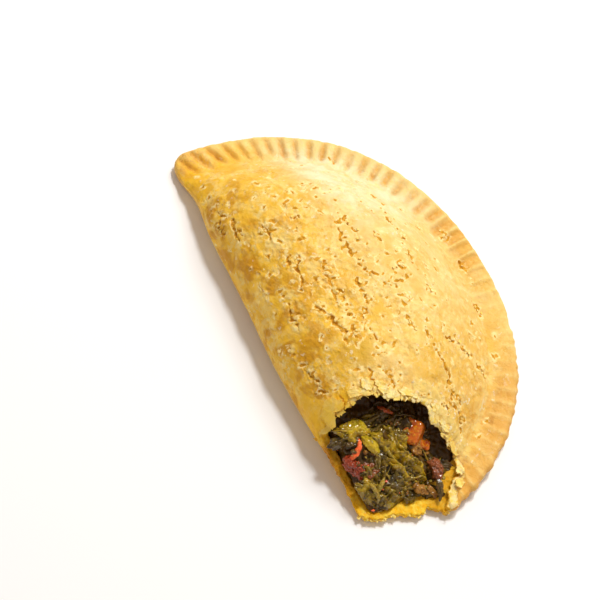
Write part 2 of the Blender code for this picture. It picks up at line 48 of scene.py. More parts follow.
# The same form, crimps and bite as the solid.
form = {
    "foldLength": 150, "depth": 80, "height": 27,
    "outlinePowerX": 2.13, "outlinePowerY": 2.48, "tipSharpness": 14,
    "foldBelly": 1.6, "foldBellyAt": 14, "foldBellyWidth": 26,
    "foldWaist": 2.0, "foldWaistAt": -57, "foldWaistWidth": 11,
    "flange": 10.5, "flangeThick": 4.6, "rimLift": 0.9, "domeStart": 9.45, "domeRise": 33,
    "endDrop": 0.13, "foldRound": 27, "flatRound": 3, "underRound": 8, "underFlatRound": 2.5,
    "foldMiddle": 6.5, "tipFlatness": 28, "foldMargin": 6, "wall": 2.6, "floor": 2.4,
    "leastHollow": 0.3, "seamDepth": 0.8, "seamMargin": 4, "uneven": 0.5, "unevenSize": 15,
    "heart": 33,
}
crimps = {
    "count": 47, "depth": 1.35, "ridge": 0.95, "groove": 1.15, "bulge": 0.55, "length": 10,
    "wander": 0.9, "wanderSize": 16,
}
crimpDraws = np.random.default_rng(8).random((crimps["count"] + 1, 2))
noiseSeed = Vector((7.3, 2.9, 5.1))


def deselectAll():
    if bpy.context.object and bpy.context.object.mode != "OBJECT":
        bpy.ops.object.mode_set(mode="OBJECT")
    bpy.ops.object.select_all(action="DESELECT")


def pick(obj):
    deselectAll()
    obj.select_set(True)
    bpy.context.view_layer.objects.active = obj


def applyModifier(obj, kind, **settings):
    pick(obj)
    modifier = obj.modifiers.new(kind.lower(), kind)
    for key, value in settings.items():
        setattr(modifier, key, value)
    bpy.ops.object.modifier_apply(modifier=modifier.name)


def editAll(obj, operator, **settings):
    # one edit-mode step on the whole mesh
    pick(obj)
    bpy.ops.object.mode_set(mode="EDIT")
    bpy.ops.mesh.select_all(action="SELECT")
    operator(**settings)
    bpy.ops.object.mode_set(mode="OBJECT")


def outwards(obj):
    editAll(obj, bpy.ops.mesh.normals_make_consistent, inside=False)


def smooth(obj):
    pick(obj)
    bpy.ops.object.shade_smooth()
    return obj


def remesh(obj, voxel):
    applyModifier(obj, "REMESH", mode="VOXEL", voxel_size=voxel * mm, adaptivity=0)


def thinTo(obj, triangles, **settings):
    total = sum(len(face.vertices) - 2 for face in obj.data.polygons)
    applyModifier(obj, "DECIMATE", ratio=min(1, triangles / total), **settings)


def cut(obj, cutter):
    applyModifier(obj, "BOOLEAN", operation="DIFFERENCE", solver="MANIFOLD", object=cutter)
    bpy.data.objects.remove(cutter)


def newPiece(name):
    obj = bpy.context.object
    obj.name = name
    obj.data.name = name
    return obj


def joinAll(objects, name):
    deselectAll()
    for obj in objects:
        obj.select_set(True)
    bpy.context.view_layer.objects.active = objects[0]
    bpy.ops.object.join()
    return newPiece(name)


def dress(obj, material):
    obj.data.materials.clear()
    obj.data.materials.append(material)


def readTriples(rows, key="co"):
    flat = np.empty(len(rows) * 3, np.float32)
    rows.foreach_get(key, flat)
    return flat.reshape(-1, 3).astype(float)


def placesOf(obj):
    return readTriples(obj.data.vertices) / mm - toFrame


def setPlaces(obj, places):
    obj.data.vertices.foreach_set("co", ((places + toFrame) * mm).astype(np.float32).ravel())
    obj.data.update()


def setValues(obj, **values):
    for name, each in values.items():
        attribute = obj.data.attributes.get(name) or obj.data.attributes.new(name, "FLOAT", "POINT")
        attribute.data.foreach_set("value", np.asarray(each, np.float32))


def triples(x, y, z):
    return np.stack(np.broadcast_arrays(x, y, z), axis=-1)


def unit(vectors):
    return vectors / (np.linalg.norm(vectors, axis=-1, keepdims=True) + 1e-9)


def ease(value):
    clipped = np.clip(value, 0, 1)
    return clipped * clipped * (3 - 2 * clipped)


def rounded(value):
    return np.sqrt(1 - (1 - np.clip(value, 0, 1)) ** 2)


def bell(away, width):
    # 1 in the middle, falling to either side
    return np.exp(-(away / width) ** 2)


def uneven(x, y, scale, layer):
    points = zip(np.ravel(x) / scale, np.ravel(y) / scale)
    values = [noise.noise(Vector((px, py, layer)) + noiseSeed) for px, py in points]
    return np.array(values).reshape(np.shape(x)) * 1.6


latticeSize = 4096
latticeDraw = np.random.default_rng(41)
latticeOrder = latticeDraw.permutation(latticeSize)
latticeSlopes = latticeDraw.normal(size=(latticeSize, 3))
latticeSlopes /= np.linalg.norm(latticeSlopes, axis=1)[:, None]
latticeSpots = latticeDraw.random((latticeSize, 3))


def latticeKey(cell):
    key = latticeOrder[cell[:, 0] % latticeSize]
    key = latticeOrder[(key + cell[:, 1]) % latticeSize]
    return latticeOrder[(key + cell[:, 2]) % latticeSize]


def softNoise(points, size, layer):
    # smooth, from -1 to 1, the same each run; each layer is a pattern of its own
    at = points / size + layer * 31.7
    cell = np.floor(at).astype(int)
    part = at - cell
    fade = part ** 3 * (part * (part * 6 - 15) + 10)
    total = np.zeros(len(points))
    for corner in itertools.product((0, 1), repeat=3):
        corner = np.array(corner)
        slope = latticeSlopes[latticeKey(cell + corner)]
        weight = np.prod(np.where(corner, fade, 1 - fade), axis=1)
        total += weight * (slope * (part - corner)).sum(1)
    return np.clip(total * 1.7, -1, 1)


def cells(points, size, layer):
    # distance to the nearest border between two cells, and a random share for each cell
    at = points / size + layer * 17.9
    home = np.floor(at).astype(int)
    nearest = np.full(len(points), 9.0)
    second = np.full(len(points), 9.0)
    share = np.zeros(len(points))
    for step in itertools.product((-1, 0, 1), repeat=3):
        cell = home + np.array(step)
        key = latticeKey(cell)
        gap = np.linalg.norm(at - cell - latticeSpots[key], axis=1)
        closer = gap < nearest
        second = np.where(closer, nearest, np.minimum(second, gap))
        share = np.where(closer, latticeSpots[(key + 7) % latticeSize, 0], share)
        nearest = np.where(closer, gap, nearest)
    return (second - nearest) / 2 * size, share


def runsOf(line):
    return np.concatenate([[0], np.cumsum(np.linalg.norm(np.diff(line, axis=0), axis=1))])


def toLine(points, line):
    # distance from each point to a line, and the place along it
    steps = np.diff(line, axis=0)
    squares = np.maximum((steps ** 2).sum(-1), 1e-9)
    runs = runsOf(line)
    gaps = np.empty(len(points))
    along = np.empty(len(points))
    for first in range(0, len(points), 4000):
        some = slice(first, first + 4000)
        away = points[some, None] - line[:-1]
        share = np.clip((away * steps).sum(-1) / squares, 0, 1)
        reach = np.linalg.norm(away - share[..., None] * steps, axis=-1)
        nearest = reach.argmin(axis=1)
        row = np.arange(len(nearest))
        gaps[some] = reach[row, nearest]
        along[some] = runs[nearest] + share[row, nearest] * np.sqrt(squares[nearest])
    return gaps, along


# The patty's form, as the solid has it.
def arcLine(count):
    turn = np.linspace(0, math.pi, count)
    across = np.cos(turn)
    x = -form["foldLength"] / 2 * np.sign(across) * np.abs(across) ** (2 / form["outlinePowerX"])
    y = form["depth"] * np.abs(np.sin(turn)) ** (2 / form["outlinePowerY"])
    return np.stack([x, y], axis=-1)


arc = arcLine(241)
arcTotal = runsOf(arc)[-1]


def toRim(x, y):
    # distance in from the curved rim, and the place along it
    inward, along = toLine(np.column_stack([np.ravel(x), np.ravel(y)]), arc)
    return inward.reshape(np.shape(x)), along.reshape(np.shape(x))


def foldLine(x):
    waist = form["foldWaist"] * bell(x - form["foldWaistAt"], form["foldWaistWidth"])
    belly = form["foldBelly"] * bell(x - form["foldBellyAt"], form["foldBellyWidth"])
    return waist - belly


def rayPoints(angles, radius):
    return radius * np.cos(angles), form["heart"] + radius * np.sin(angles)


def furthestInside(isInside, high, rounds):
    low = np.zeros_like(high)
    for _ in range(rounds):
        middle = (low + high) / 2
        inside = isInside(middle)
        low = np.where(inside, middle, low)
        high = np.where(inside, high, middle)
    return low


def outlineRadius(angles):
    def inArc(radius):
        x, y = rayPoints(angles, radius)
        across = np.abs(x / (form["foldLength"] / 2)) ** form["outlinePowerX"]
        return across + (np.clip(y, 0, None) / form["depth"]) ** form["outlinePowerY"] < 1

    toArc = furthestInside(inArc, np.full_like(angles, form["foldLength"]), rounds=40)
    down = np.maximum(-np.sin(angles), 1e-6)
    toFold = form["heart"] / down
    for _ in range(8):
        toFold = np.clip((form["heart"] - foldLine(toFold * np.cos(angles))) / down, 0, 1e4)
    sharp = form["tipSharpness"]
    return (toArc ** -sharp + toFold ** -sharp) ** (-1 / sharp)


def innerRadius(angles, rimInset, foldInset):
    def inHollow(radius):
        x, y = rayPoints(angles, radius)
        inward, _ = toRim(x, y)
        fromFold = np.maximum(y - foldLine(x), 1e-3)
        return (rimInset / np.maximum(inward, 1e-3)) ** 4 + (foldInset / fromFold) ** 4 < 1

    return furthestInside(inHollow, outlineRadius(angles), rounds=22)


def evenAngles(count):
    fine = np.linspace(0, 2 * math.pi, 4001)
    reach = outlineRadius(fine)
    runs = runsOf(np.stack([reach * np.cos(fine), reach * np.sin(fine)], axis=-1))
    return np.interp(np.arange(count) / count * runs[-1], runs, fine)


def dome(inward):
    share = np.clip((inward - form["domeStart"]) / form["domeRise"], 0, 1)
    return 1 - (1 - share ** 1.15) ** 2


def risenShare(fromFold, inward, flat, full):
    # a round over the fold, wider where the dome is full
    return rounded(fromFold / (flat + (full - flat) * dome(inward)))


def arcSide(fromFold):
    return ease(fromFold / form["foldMargin"])


def rimRise(inward, fromFold):
    return form["rimLift"] * (1 - ease(inward / form["flange"])) * arcSide(fromFold)


def fullHeight(x, inward):
    arch = 1 - form["endDrop"] * (x / (form["foldLength"] / 2)) ** 2
    return form["flangeThick"] + (form["height"] - form["flangeThick"]) * dome(inward) * arch


def foldHeight(x):
    flat = form["flangeThick"] / 2
    fromTip = form["foldLength"] / 2 - np.abs(x)
    return flat + (form["foldMiddle"] - flat) * ease(fromTip / form["tipFlatness"])


def crimpStrength(share):
    return 1 - 0.84 * ease((share - 0.46) / 0.13) + 0.36 * ease((share - 0.82) / 0.1)


def crimpDip(inward, along):
    share = along / arcTotal
    lean = -0.6 * (1 - ease((share - 0.05) / 0.2)) + 0.55 * ease((share - 0.72) / 0.2)
    wander = crimps["wander"] * uneven(along, along * 0, crimps["wanderSize"], 3.0)
    pitch = arcTotal / crimps["count"]
    turns = (along + lean * inward + wander) / pitch
    toRidge = np.abs(turns - np.round(turns)) * pitch
    # short grooves between broad ridges near the whole end, full pads between thin ridges further on
    pads = 1 - bell(toRidge, crimps["ridge"])
    grooves = bell(pitch / 2 - toRidge, crimps["groove"])
    narrow = 1 - ease((share - 0.36) / 0.12)
    hollow = pads + (grooves - pads) * narrow
    each = crimpDraws[np.clip(np.floor(turns), 0, crimps["count"]).astype(int)]
    reach = crimps["length"] * (1 + 0.12 * uneven(along, along * 0, 5, 8.0)) * (0.8 + 0.3 * each[..., 1])
    window = 1 - ease((inward - 0.68 * reach) / (0.42 * reach))
    window = window * (1 - 0.6 * narrow * (1 - ease((inward - 0.5) / 3)))
    return crimps["depth"] * (0.7 + 0.5 * each[..., 0]) * hollow * window * crimpStrength(share)


def topHeight(x, y):
    inward, along = toRim(x, y)
    middle = foldHeight(x)
    fromFold = y - foldLine(x)
    risen = risenShare(fromFold, inward, form["flatRound"], form["foldRound"])
    height = middle + (fullHeight(x, inward) - middle) * risen + rimRise(inward, fromFold)
    height = height + form["uneven"] * dome(inward) * uneven(x, y, form["unevenSize"], 0.0) * risen
    return height - crimpDip(inward, along) * arcSide(fromFold)


def underHeight(x, y):
    inward, _ = toRim(x, y)
    fromFold = y - foldLine(x)
    risen = risenShare(fromFold, inward, form["underFlatRound"], form["underRound"])
    return foldHeight(x) * (1 - risen) + rimRise(inward, fromFold)


def ceilingHeight(x, y, gap):
    inward, _ = toRim(x, y)
    full = fullHeight(x, inward) - form["wall"] - gap
    middle = foldHeight(x)
    fromFold = y - foldLine(x) - form["wall"] - gap
    risen = risenShare(fromFold, inward, form["flatRound"], form["foldRound"])
    return np.maximum(middle + (full - middle) * risen, form["floor"] + gap + form["leastHollow"])


def floorHeight(x, y, gap):
    inward, _ = toRim(x, y)
    width = 2 + (form["underRound"] - 3) * dome(inward)
    fromFold = y - foldLine(x) - form["wall"] - gap
    base = form["floor"] + gap
    return base + np.maximum(foldHeight(x) - base, 0) * (1 - rounded(fromFold / width))


slope = {
    "back": 13.5, "front": 4.2, "starts": 42, "ends": 66, "cavityStarts": 36, "cavityDepth": 20,
    "pocket": (54, 31), "pocketWidth": 6, "pocketDepth": 4.5, "lump": 0.9, "lumpSize": 4.5, "setback": 1.9,
}
heap = {"gap": 0.35, "rays": 200, "rows": (44, 12), "voxel": 0.55, "triangles": 70000}


def smoothHeap(x, y):
    # the heap's slope without its lumps
    front = ease((slope["ends"] - x) / (slope["ends"] - slope["starts"]))
    height = slope["front"] + (slope["back"] - slope["front"]) * front
    aside = np.hypot(x - slope["pocket"][0], y - slope["pocket"][1])
    return height - slope["pocketDepth"] * bell(aside, slope["pocketWidth"])


def heapHeight(x, y):
    # the slope of the filling in the bite, under the roof further in
    behind = ease((slope["cavityStarts"] - x) / slope["cavityDepth"])
    height = smoothHeap(x, y) + (form["height"] - slope["back"]) * behind
    height = height + slope["lump"] * uneven(x, y, slope["lumpSize"], 6.0) * (1 - behind)
    return np.minimum(height, ceilingHeight(x, y, heap["gap"]))


def shapeMany(name, rays, skins):
    # a sphere for each skin: its rows, from the upper pole down, take the places of the skin's rows
    deselectAll()
    count = len(skins[0][0])
    bpy.ops.mesh.primitive_uv_sphere_add(segments=rays, ring_count=count + 1, radius=1)
    obj = newPiece(name)
    ball = readTriples(obj.data.vertices)
    row = np.rint(np.arccos(np.clip(ball[:, 2], -1, 1)) / math.pi * (count + 1)).astype(int)
    ray = np.rint(np.arctan2(ball[:, 1], ball[:, 0]) / (2 * math.pi) * rays).astype(int) % rays
    if len(skins) > 1:
        applyModifier(obj, "ARRAY", count=len(skins), use_relative_offset=False,
                      use_constant_offset=True, constant_offset_displace=(3, 0, 0))
    places = []
    for rows, highPole, lowPole in skins:
        skin = np.array(rows)[np.clip(row - 1, 0, count - 1), ray]
        skin[row == 0] = highPole
        skin[row == count + 1] = lowPole
        places.append(skin)
    setPlaces(obj, np.concatenate(places))
    setValues(obj, row=np.tile(row / (count + 1), len(skins)))
    return obj


def heightRow(angles, radius, heightAt):
    x, y = rayPoints(angles, radius)
    return triples(x, y, heightAt(x, y))


def pole(heightAt):
    return heightRow(np.zeros(1), np.zeros(1), heightAt)[0]


def makeOuter(rays, domeRows, flangeRows):
    angles = evenAngles(rays)
    reach = outlineRadius(angles)
    x, y = rayPoints(angles, reach)
    inward, along = toRim(x, y)
    onRim = (1 - ease(inward / form["seamMargin"])) * arcSide(y - foldLine(x))
    reach = reach + crimps["bulge"] * crimpDip(inward * 0, along) / crimps["depth"] * onRim
    rows = [heightRow(angles, (reach - 12.5) * share, topHeight) for share in np.linspace(0.03, 1, domeRows)]
    rows += [heightRow(angles, reach - inset, topHeight) for inset in np.linspace(12, 1.2, flangeRows)]
    # round the edge, with the seam between the two pressed layers: how far in from the outline,
    # and how far up from the seam, 1 being the top and -1 the underside
    top = rows[-1][:, 2]
    under = underHeight(*rayPoints(angles, reach - 0.9))
    seam = foldHeight(x) * (1 - onRim) + (top + under) / 2 * onRim
    for inset, share in ((0.8, 0.9), (0.35, 0.72), (0.08, 0.5), (0, 0.32), (form["seamDepth"], 0),
                         (0.1, -0.34), (0.15, -0.5), (0.4, -0.75)):
        x, y = rayPoints(angles, reach - inset * (1 if share else onRim))
        edge = top if share > 0 else under
        rows.append(triples(x, y, seam + (edge - seam) * abs(share)))
    for inset in (0.9, 1.5, 2.2, 3.2, 4.5, 6, 8, 10.5, 13):
        rows.append(heightRow(angles, reach - inset, underHeight))
    for share in (0.75, 0.5, 0.25):
        rows.append(heightRow(angles, (reach - 13) * share, underHeight))
    return shapeMany("crust", rays, [(rows, pole(topHeight), pole(underHeight))])


def makeLens(name, rays, gap, topAt, rowsUp, rowsDown):
    # the hollow or the core, from its ceiling round to its floor
    def floorAt(x, y):
        return floorHeight(x, y, gap)

    angles = evenAngles(rays)
    reach = innerRadius(angles, form["flange"] + form["leastHollow"] + gap, form["wall"] + gap)
    rows = [heightRow(angles, reach * share, topAt) for share in np.linspace(0.02, 1, rowsUp) ** 0.7]
    rows += [heightRow(angles, reach * share, floorAt) for share in np.linspace(0.99, 0.06, rowsDown)]
    return shapeMany(name, rays, [(rows, pole(topAt), pole(floorAt))])


bite = {
    "roofEdge": [(33, -9), (36.6, -1), (37.4, 2), (35.2, 4.5), (35.4, 9), (34.6, 14), (37, 17.2),
                 (39.6, 20.5), (41.2, 25), (44.6, 30), (47.6, 30.6), (50.5, 32.4), (54.5, 34), (59, 35.3),
                 (62.4, 34.6), (64.4, 32.2), (67.6, 28.4), (72.4, 25.8), (80, 25)],
    "floorEdge": [(58.5, -9), (59.8, -1), (61.8, 1), (64.4, 3.4), (66, 7.2), (66.4, 11.5), (68.3, 15.2),
                  (69.8, 18.6), (67.6, 21), (69.6, 22.4), (72, 24.8), (80, 25)],
    "roofCorner": 9,  # where the roof's edge turns from the back of the bite to its side
    "reach": 95, "cutBack": 10.5, "cutFront": 2.9, "bends": (36, 60), "spacing": 0.45,
    "crumble": 0.34, "teeth": 1.0, "toothLength": 1.7, "thinEdge": 0.75, "thinning": 4.5,
    "thinFrom": 26,
}


def brokenLine(corners, teeth, seed):
    # a smooth curve through the corners, crumbled and toothed to either side
    points = np.array(corners, float)
    padded = np.concatenate([[2 * points[0] - points[1]], points, [2 * points[-1] - points[-2]]])
    line = []
    for i in range(1, len(padded) - 2):
        before, start, stop, after = padded[i - 1:i + 3]
        steps = max(1, round(np.linalg.norm(stop - start) / bite["spacing"]))
        for t in np.arange(steps) / steps:
            line.append(0.5 * (2 * start + (stop - before) * t
                               + (2 * before - 5 * start + 4 * stop - after) * t ** 2
                               + (3 * start - before - 3 * stop + after) * t ** 3))
    line = np.array(line + [points[-1]])
    sides = np.gradient(line, axis=0)
    sides = sides[:, ::-1] * (1, -1) / np.linalg.norm(sides, axis=1)[:, None]
    draw = random.Random(seed)
    shifts = np.array([draw.uniform(-1, 1) for _ in line]) * bite["crumble"]
    run = np.arange(len(line)) * bite["spacing"]
    shifts = shifts + teeth * softNoise(triples(run, 0, seed), bite["toothLength"], 5)
    return line + sides * shifts[:, None]


def makeCutter(name, line, low, high, bends=()):
    # a prism over everything on the bitten side of the line
    far = bite["reach"]
    outline = list(line) + [(far, line[-1][1]), (far, -15), (line[0][0], -15)]
    deselectAll()
    bpy.ops.mesh.primitive_circle_add(vertices=len(outline), radius=1, fill_type="NGON")
    obj = newPiece(name)
    setPlaces(obj, np.array([(x, y, 0) for x, y in outline]))
    for bend in bends:
        editAll(obj, bpy.ops.mesh.bisect, plane_co=((bend + toFrame[0]) * mm, 0, 0), plane_no=(1, 0, 0))
    editAll(obj, bpy.ops.mesh.extrude_region_move, TRANSFORM_OT_translate={"value": (0, 0, 1)})
    places = placesOf(obj)
    lowest = low(places[:, 0]) if callable(low) else low
    places[:, 2] = np.where(places[:, 2] > 1, high, lowest)
    setPlaces(obj, places)
    outwards(obj)
    editAll(obj, bpy.ops.mesh.quads_convert_to_tris)
    return obj


def roofCutHeight(x):
    first, last = bite["bends"]
    share = np.clip((x - first) / (last - first), 0, 1)
    return bite["cutBack"] + (bite["cutFront"] - bite["cutBack"]) * share


crackRoutes = [
    [(-18.7, 32.2), (-14, 30.4), (-9.9, 31.3), (-2.7, 31.9), (1.5, 34.6), (6.9, 36.8), (6.2, 40.4),
     (5.3, 45.1)],
    [(-9.1, 22.1), (-5.5, 19.7), (0.5, 19.6), (3.7, 19.1)],
    [(0.5, 28.3), (5.4, 28.7), (8.4, 27.7), (11.6, 25.9), (14.1, 22.8)],
    [(3.3, 12.9), (8, 15.6), (12.4, 15.9), (18.3, 15.9)], [(17.3, 24.1), (22.1, 24.6), (26.6, 24.7)],
    [(18.6, 2.6), (21.8, 3.8), (24.2, 3.9), (26.8, 3.8), (28.2, 4.5)],
    [(-30, 11.4), (-27.6, 12), (-24.5, 11.1)], [(-16.8, 12.8), (-13.6, 12.4)],
    [(-27.1, 19.6), (-26.6, 22.5)],
    [(28.7, 40.8), (32.2, 41.4), (36.7, 42.3), (38.3, 42.8), (39.4, 41.5), (41.5, 42.2), (44, 40.6),
     (46.3, 40.5), (47.2, 41.4), (49.8, 41.3), (52, 40.8), (54.4, 40.3)],
    [(42.7, 42.1), (46, 43.4)], [(45, 35.6), (45.6, 37.8), (46.3, 40.4)],
    [(29.7, 18.7), (30.7, 17), (32.7, 16.6), (33.8, 15.5), (35.7, 15.4)],
    [(31.2, 21.5), (33.3, 22.3), (35, 22.2), (37.5, 22)], [(-21.4, 36.1), (-16.2, 35.7), (-11.6, 35.4)],
    [(-12.5, 15.6), (-10.8, 13.4), (-6.8, 13.5), (-4.3, 11.6)],
    [(1.8, 21.8), (5.5, 21.6), (10.6, 20.6), (15.2, 18.9), (18.4, 19.4)],
    [(-44, 3.4), (-40, 2.6), (-36, 2.2)], [(-38, 5.6), (-34, 4.6), (-30, 4.2)],
    [(-2, 6.8), (2.6, 5.6), (6.4, 6)], [(-12.4, 51.6), (-9.8, 51.1), (-8.1, 51.7)],
    [(-19.2, 50.7), (-15, 50.8)], [(-3.2, 49.7), (0.7, 49.2)], [(9.1, 50.2), (11, 50.3), (12.4, 51.1)],
    [(18.8, 37.2), (21.9, 36.9)], [(22.5, 40.4), (25.8, 40.8)], [(-1.2, 72.8), (2.8, 72.9)],
    [(13.9, 68.5), (17, 69.2)], [(25, 58.4), (27.4, 60.4)], [(26.9, 46.9), (28.6, 49.9)],
    [(31.1, 52.1), (32, 54), (33.5, 54.6)], [(36.2, 56.5), (38.8, 58.4)], [(-12.4, 42.1), (-9.1, 42.4)],
    [(-0.3, 42.6), (2.3, 43.8)], [(-14.2, 73.4), (-10.4, 73.5)],
]
cracks = {
    "halfWidth": 0.56, "depth": 0.5, "jitter": 0.2, "spurs": 0.3, "lip": 0.14,
    "netSize": 6.5, "netHalfWidth": 0.14, "netDepth": 0.16,
    "pits": 210, "pitRadius": (0.18, 0.5), "pitDepth": 0.36,
}
farGap = 3.0  # counts as far from any crack or tear
farEdge = 20.0  # and from the bite's edges


def jaggedRoute(route, draw):
    # each straight is halved and pushed aside, twice over
    points = [np.array(point, float) for point in route]
    for _ in range(2):
        finer = [points[0]]
        for start, stop in zip(points[:-1], points[1:]):
            along = stop - start
            aside = np.array([-along[1], along[0]]) * cracks["jitter"]
            finer += [(start + stop) / 2 + aside * draw.uniform(-1, 1), stop]
        points = finer
    return np.array(points)


def withSpurs(line, draw):
    # the crack itself, and thin side cracks leaving it
    lines = [(line, 1.0)]
    for k in range(1, len(line) - 1):
        if draw.random() > cracks["spurs"]:
            continue
        along = line[k + 1] - line[k - 1]
        aside = unit(np.array([-along[1], along[0]])) * draw.choice((-1, 1))
        length = draw.uniform(0.8, 2.4)
        bend = aside * length / 2 + along * draw.uniform(-0.3, 0.3)
        lines.append((np.array([line[k], line[k] + bend, line[k] + aside * length]), 0.6))
    return lines


def onRoof(plan):
    return np.column_stack([plan, topHeight(plan[:, 0], plan[:, 1])])


def busy(points):
    # how cracked and pitted the top is: most over the middle and the flank above the fold
    return np.clip(0.22 + 0.95 * bell(points[:, 0] + 2, 42) * bell(points[:, 1] - 22, 31), 0, 1)


def crackField(points):
    # gap to the nearest crack, less its half width, and how deep the surface sinks there
    openness = np.full(len(points), farGap)
    sink = np.zeros(len(points))
    draw = random.Random(19)
    ragged = softNoise(points, 1.3, 11)
    lines = []
    for route in crackRoutes:
        lines += withSpurs(jaggedRoute(route, draw), draw)
    for plan, scale in lines:
        line = onRoof(plan)
        beside = (points > line.min(0) - 2.5) & (points < line.max(0) + 2.5)
        near = np.flatnonzero(beside.all(axis=1))
        gap, _ = toLine(points[near], line)
        width = cracks["halfWidth"] * scale * np.clip(0.5 + 1.9 * ragged[near], -0.3, 1.6)
        openness[near] = np.minimum(openness[near], gap - width)
        depth = cracks["depth"] * scale * np.clip(1.25 - gap / np.maximum(width, 0.08), 0, 1)
        sink[near] = np.maximum(sink[near], depth)
    # a finer net between them
    warped = points + 1.3 * np.stack([softNoise(points, 3.5, 21 + k) for k in range(3)], axis=-1)
    border, _ = cells(warped, cracks["netSize"], 2)
    shown = np.clip((softNoise(points, 4.5, 25) + 0.7 * busy(points) - 0.95) * 4, 0, 1)
    width = cracks["netHalfWidth"] * shown * np.clip(0.8 + 1.1 * ragged, 0.1, 1.5)
    openness = np.minimum(openness, np.where(shown > 0.05, border - width, farGap))
    depth = cracks["netDepth"] * np.clip(1.2 - border / np.maximum(width, 1e-3), 0, 1) * shown
    return openness, np.maximum(sink, depth)


def pitField(points, roof):
    # the same for small many-sided pits
    openness = np.full(len(points), farGap)
    sink = np.zeros(len(points))
    tree = kdtree.KDTree(int(roof.sum()))
    for i in np.flatnonzero(roof):
        tree.insert(points[i], i)
    tree.balance()
    ragged = softNoise(points, 0.7, 12)
    draw = random.Random(5)
    made = 0
    while made < cracks["pits"]:
        x = draw.uniform(-66, 66)
        y = draw.uniform(2, 74)
        spot = onRoof(np.array([(x, y)]))
        inward, _ = toRim(spot[:, 0], spot[:, 1])
        if y < foldLine(x) + 1 or inward[0] < 5 or draw.random() > busy(spot)[0] * 1.1:
            continue
        made += 1
        radius = draw.uniform(*cracks["pitRadius"]) * draw.choice((0.7, 1, 1, 1.25))
        stretch = draw.choice((1, 1.2, 1.8, 2.8))
        turn = draw.uniform(0, math.pi)
        along = np.array([math.cos(turn), math.sin(turn), 0])
        near = [index for _, index, _ in tree.find_range(spot[0], radius * stretch + 1.2)]
        if not near:
            continue
        away = points[near] - spot[0]
        run = away @ along / stretch
        aside = away @ np.array([-along[1], along[0], 0])
        corners = draw.choice((3, 4, 4, 5))
        sides = [2 * math.pi * (k + draw.uniform(-0.2, 0.2)) / corners for k in range(corners)]
        gap = np.max([run * math.cos(side) + aside * math.sin(side) for side in sides], axis=0)
        gap = np.maximum(gap, 0) * (1 + 0.5 * ragged[near]) + np.abs(away[:, 2]) * 0.3
        openness[near] = np.minimum(openness[near], gap - radius)
        sink[near] = np.maximum(sink[near], cracks["pitDepth"] * np.clip(1.3 * (1 - gap / radius), 0, 1))
    return openness, sink


crust = {
    "rays": 720, "domeRows": 26, "flangeRows": 24, "voxel": 0.3, "quickVoxel": 0.6,
    "triangles": 196000, "plainFactor": 2e-6, "hollowRays": 320, "hollowRows": (60, 10),
    "terraceWide": 3.2, "terraceNarrow": 1.3, "terraceStep": 0.32,
}


def makeCrust():
    obj = makeOuter(crust["rays"], crust["domeRows"], crust["flangeRows"])
    outerTree = BVHTree.FromObject(obj, bpy.context.evaluated_depsgraph_get())
    roofLine = brokenLine(bite["roofEdge"], bite["teeth"], 11)
    floorLine = brokenLine(bite["floorEdge"], bite["teeth"] * 0.7, 23)

    def thinnedCeiling(x, y):
        # the roof thins out to a ragged edge, its lower layers torn further back
        ceiling = ceilingHeight(x, y, 0.0)
        gap, _ = toLine(np.column_stack([x, y]), roofLine[::4])
        ragged = 1 + 0.5 * softNoise(triples(x, y, 0), 2.2, 17)
        near = 1 - ease((gap - 0.3) / (bite["thinning"] * ragged))
        thin = topHeight(x, y) - bite["thinEdge"]
        thinned = (thin > ceiling) & (x > bite["thinFrom"])
        return np.where(thinned, ceiling + (thin - ceiling) * near, ceiling)

    hollow = makeLens("hollow", crust["hollowRays"], 0.0, thinnedCeiling, *crust["hollowRows"])
    hollowTree = BVHTree.FromObject(hollow, bpy.context.evaluated_depsgraph_get())
    cut(obj, hollow)
    cut(obj, makeCutter("roofBite", roofLine, roofCutHeight, form["height"] + 10, bite["bends"]))
    cut(obj, makeCutter("floorBite", floorLine, -5, form["height"] + 12))
    remesh(obj, crust["voxel"])
    print("crust remeshed:", len(obj.data.vertices), "points")
    carveCrust(obj, outerTree, hollowTree, roofLine, floorLine)
    thinTo(obj, crust["triangles"], vertex_group="plain", vertex_group_factor=crust["plainFactor"])
    print("crust thinned to", len(obj.data.polygons), "faces")
    return smooth(obj), roofLine, floorLine


def tornLayers(points, toEdge, edgeRun, plateShare, bitten):
    # terraces of torn layers along the roof's broken edge
    spread = ease((edgeRun - 12) / 3) * (1 - ease((edgeRun - 24) / 3)) + ease((edgeRun - 44) / 4)
    wide = crust["terraceNarrow"] + (crust["terraceWide"] - crust["terraceNarrow"]) * spread
    ragged = softNoise(points, 2.6, 31) * 0.5 + softNoise(points, 0.9, 32) * 0.28
    tear = np.where(bitten, wide * (0.62 + ragged) - toEdge, -farGap)
    tearDeep = np.where(bitten, 0.35 + 0.9 * ragged + 0.3 * spread - toEdge, -farGap)
    drop = ease(tear / 0.3 + 0.5) * (0.8 + 0.5 * (plateShare - 0.5))
    drop += ease(tearDeep / 0.3 + 0.5) * (0.9 + 0.6 * (plateShare - 0.5))
    return tear, tearDeep, drop * crust["terraceStep"], ragged


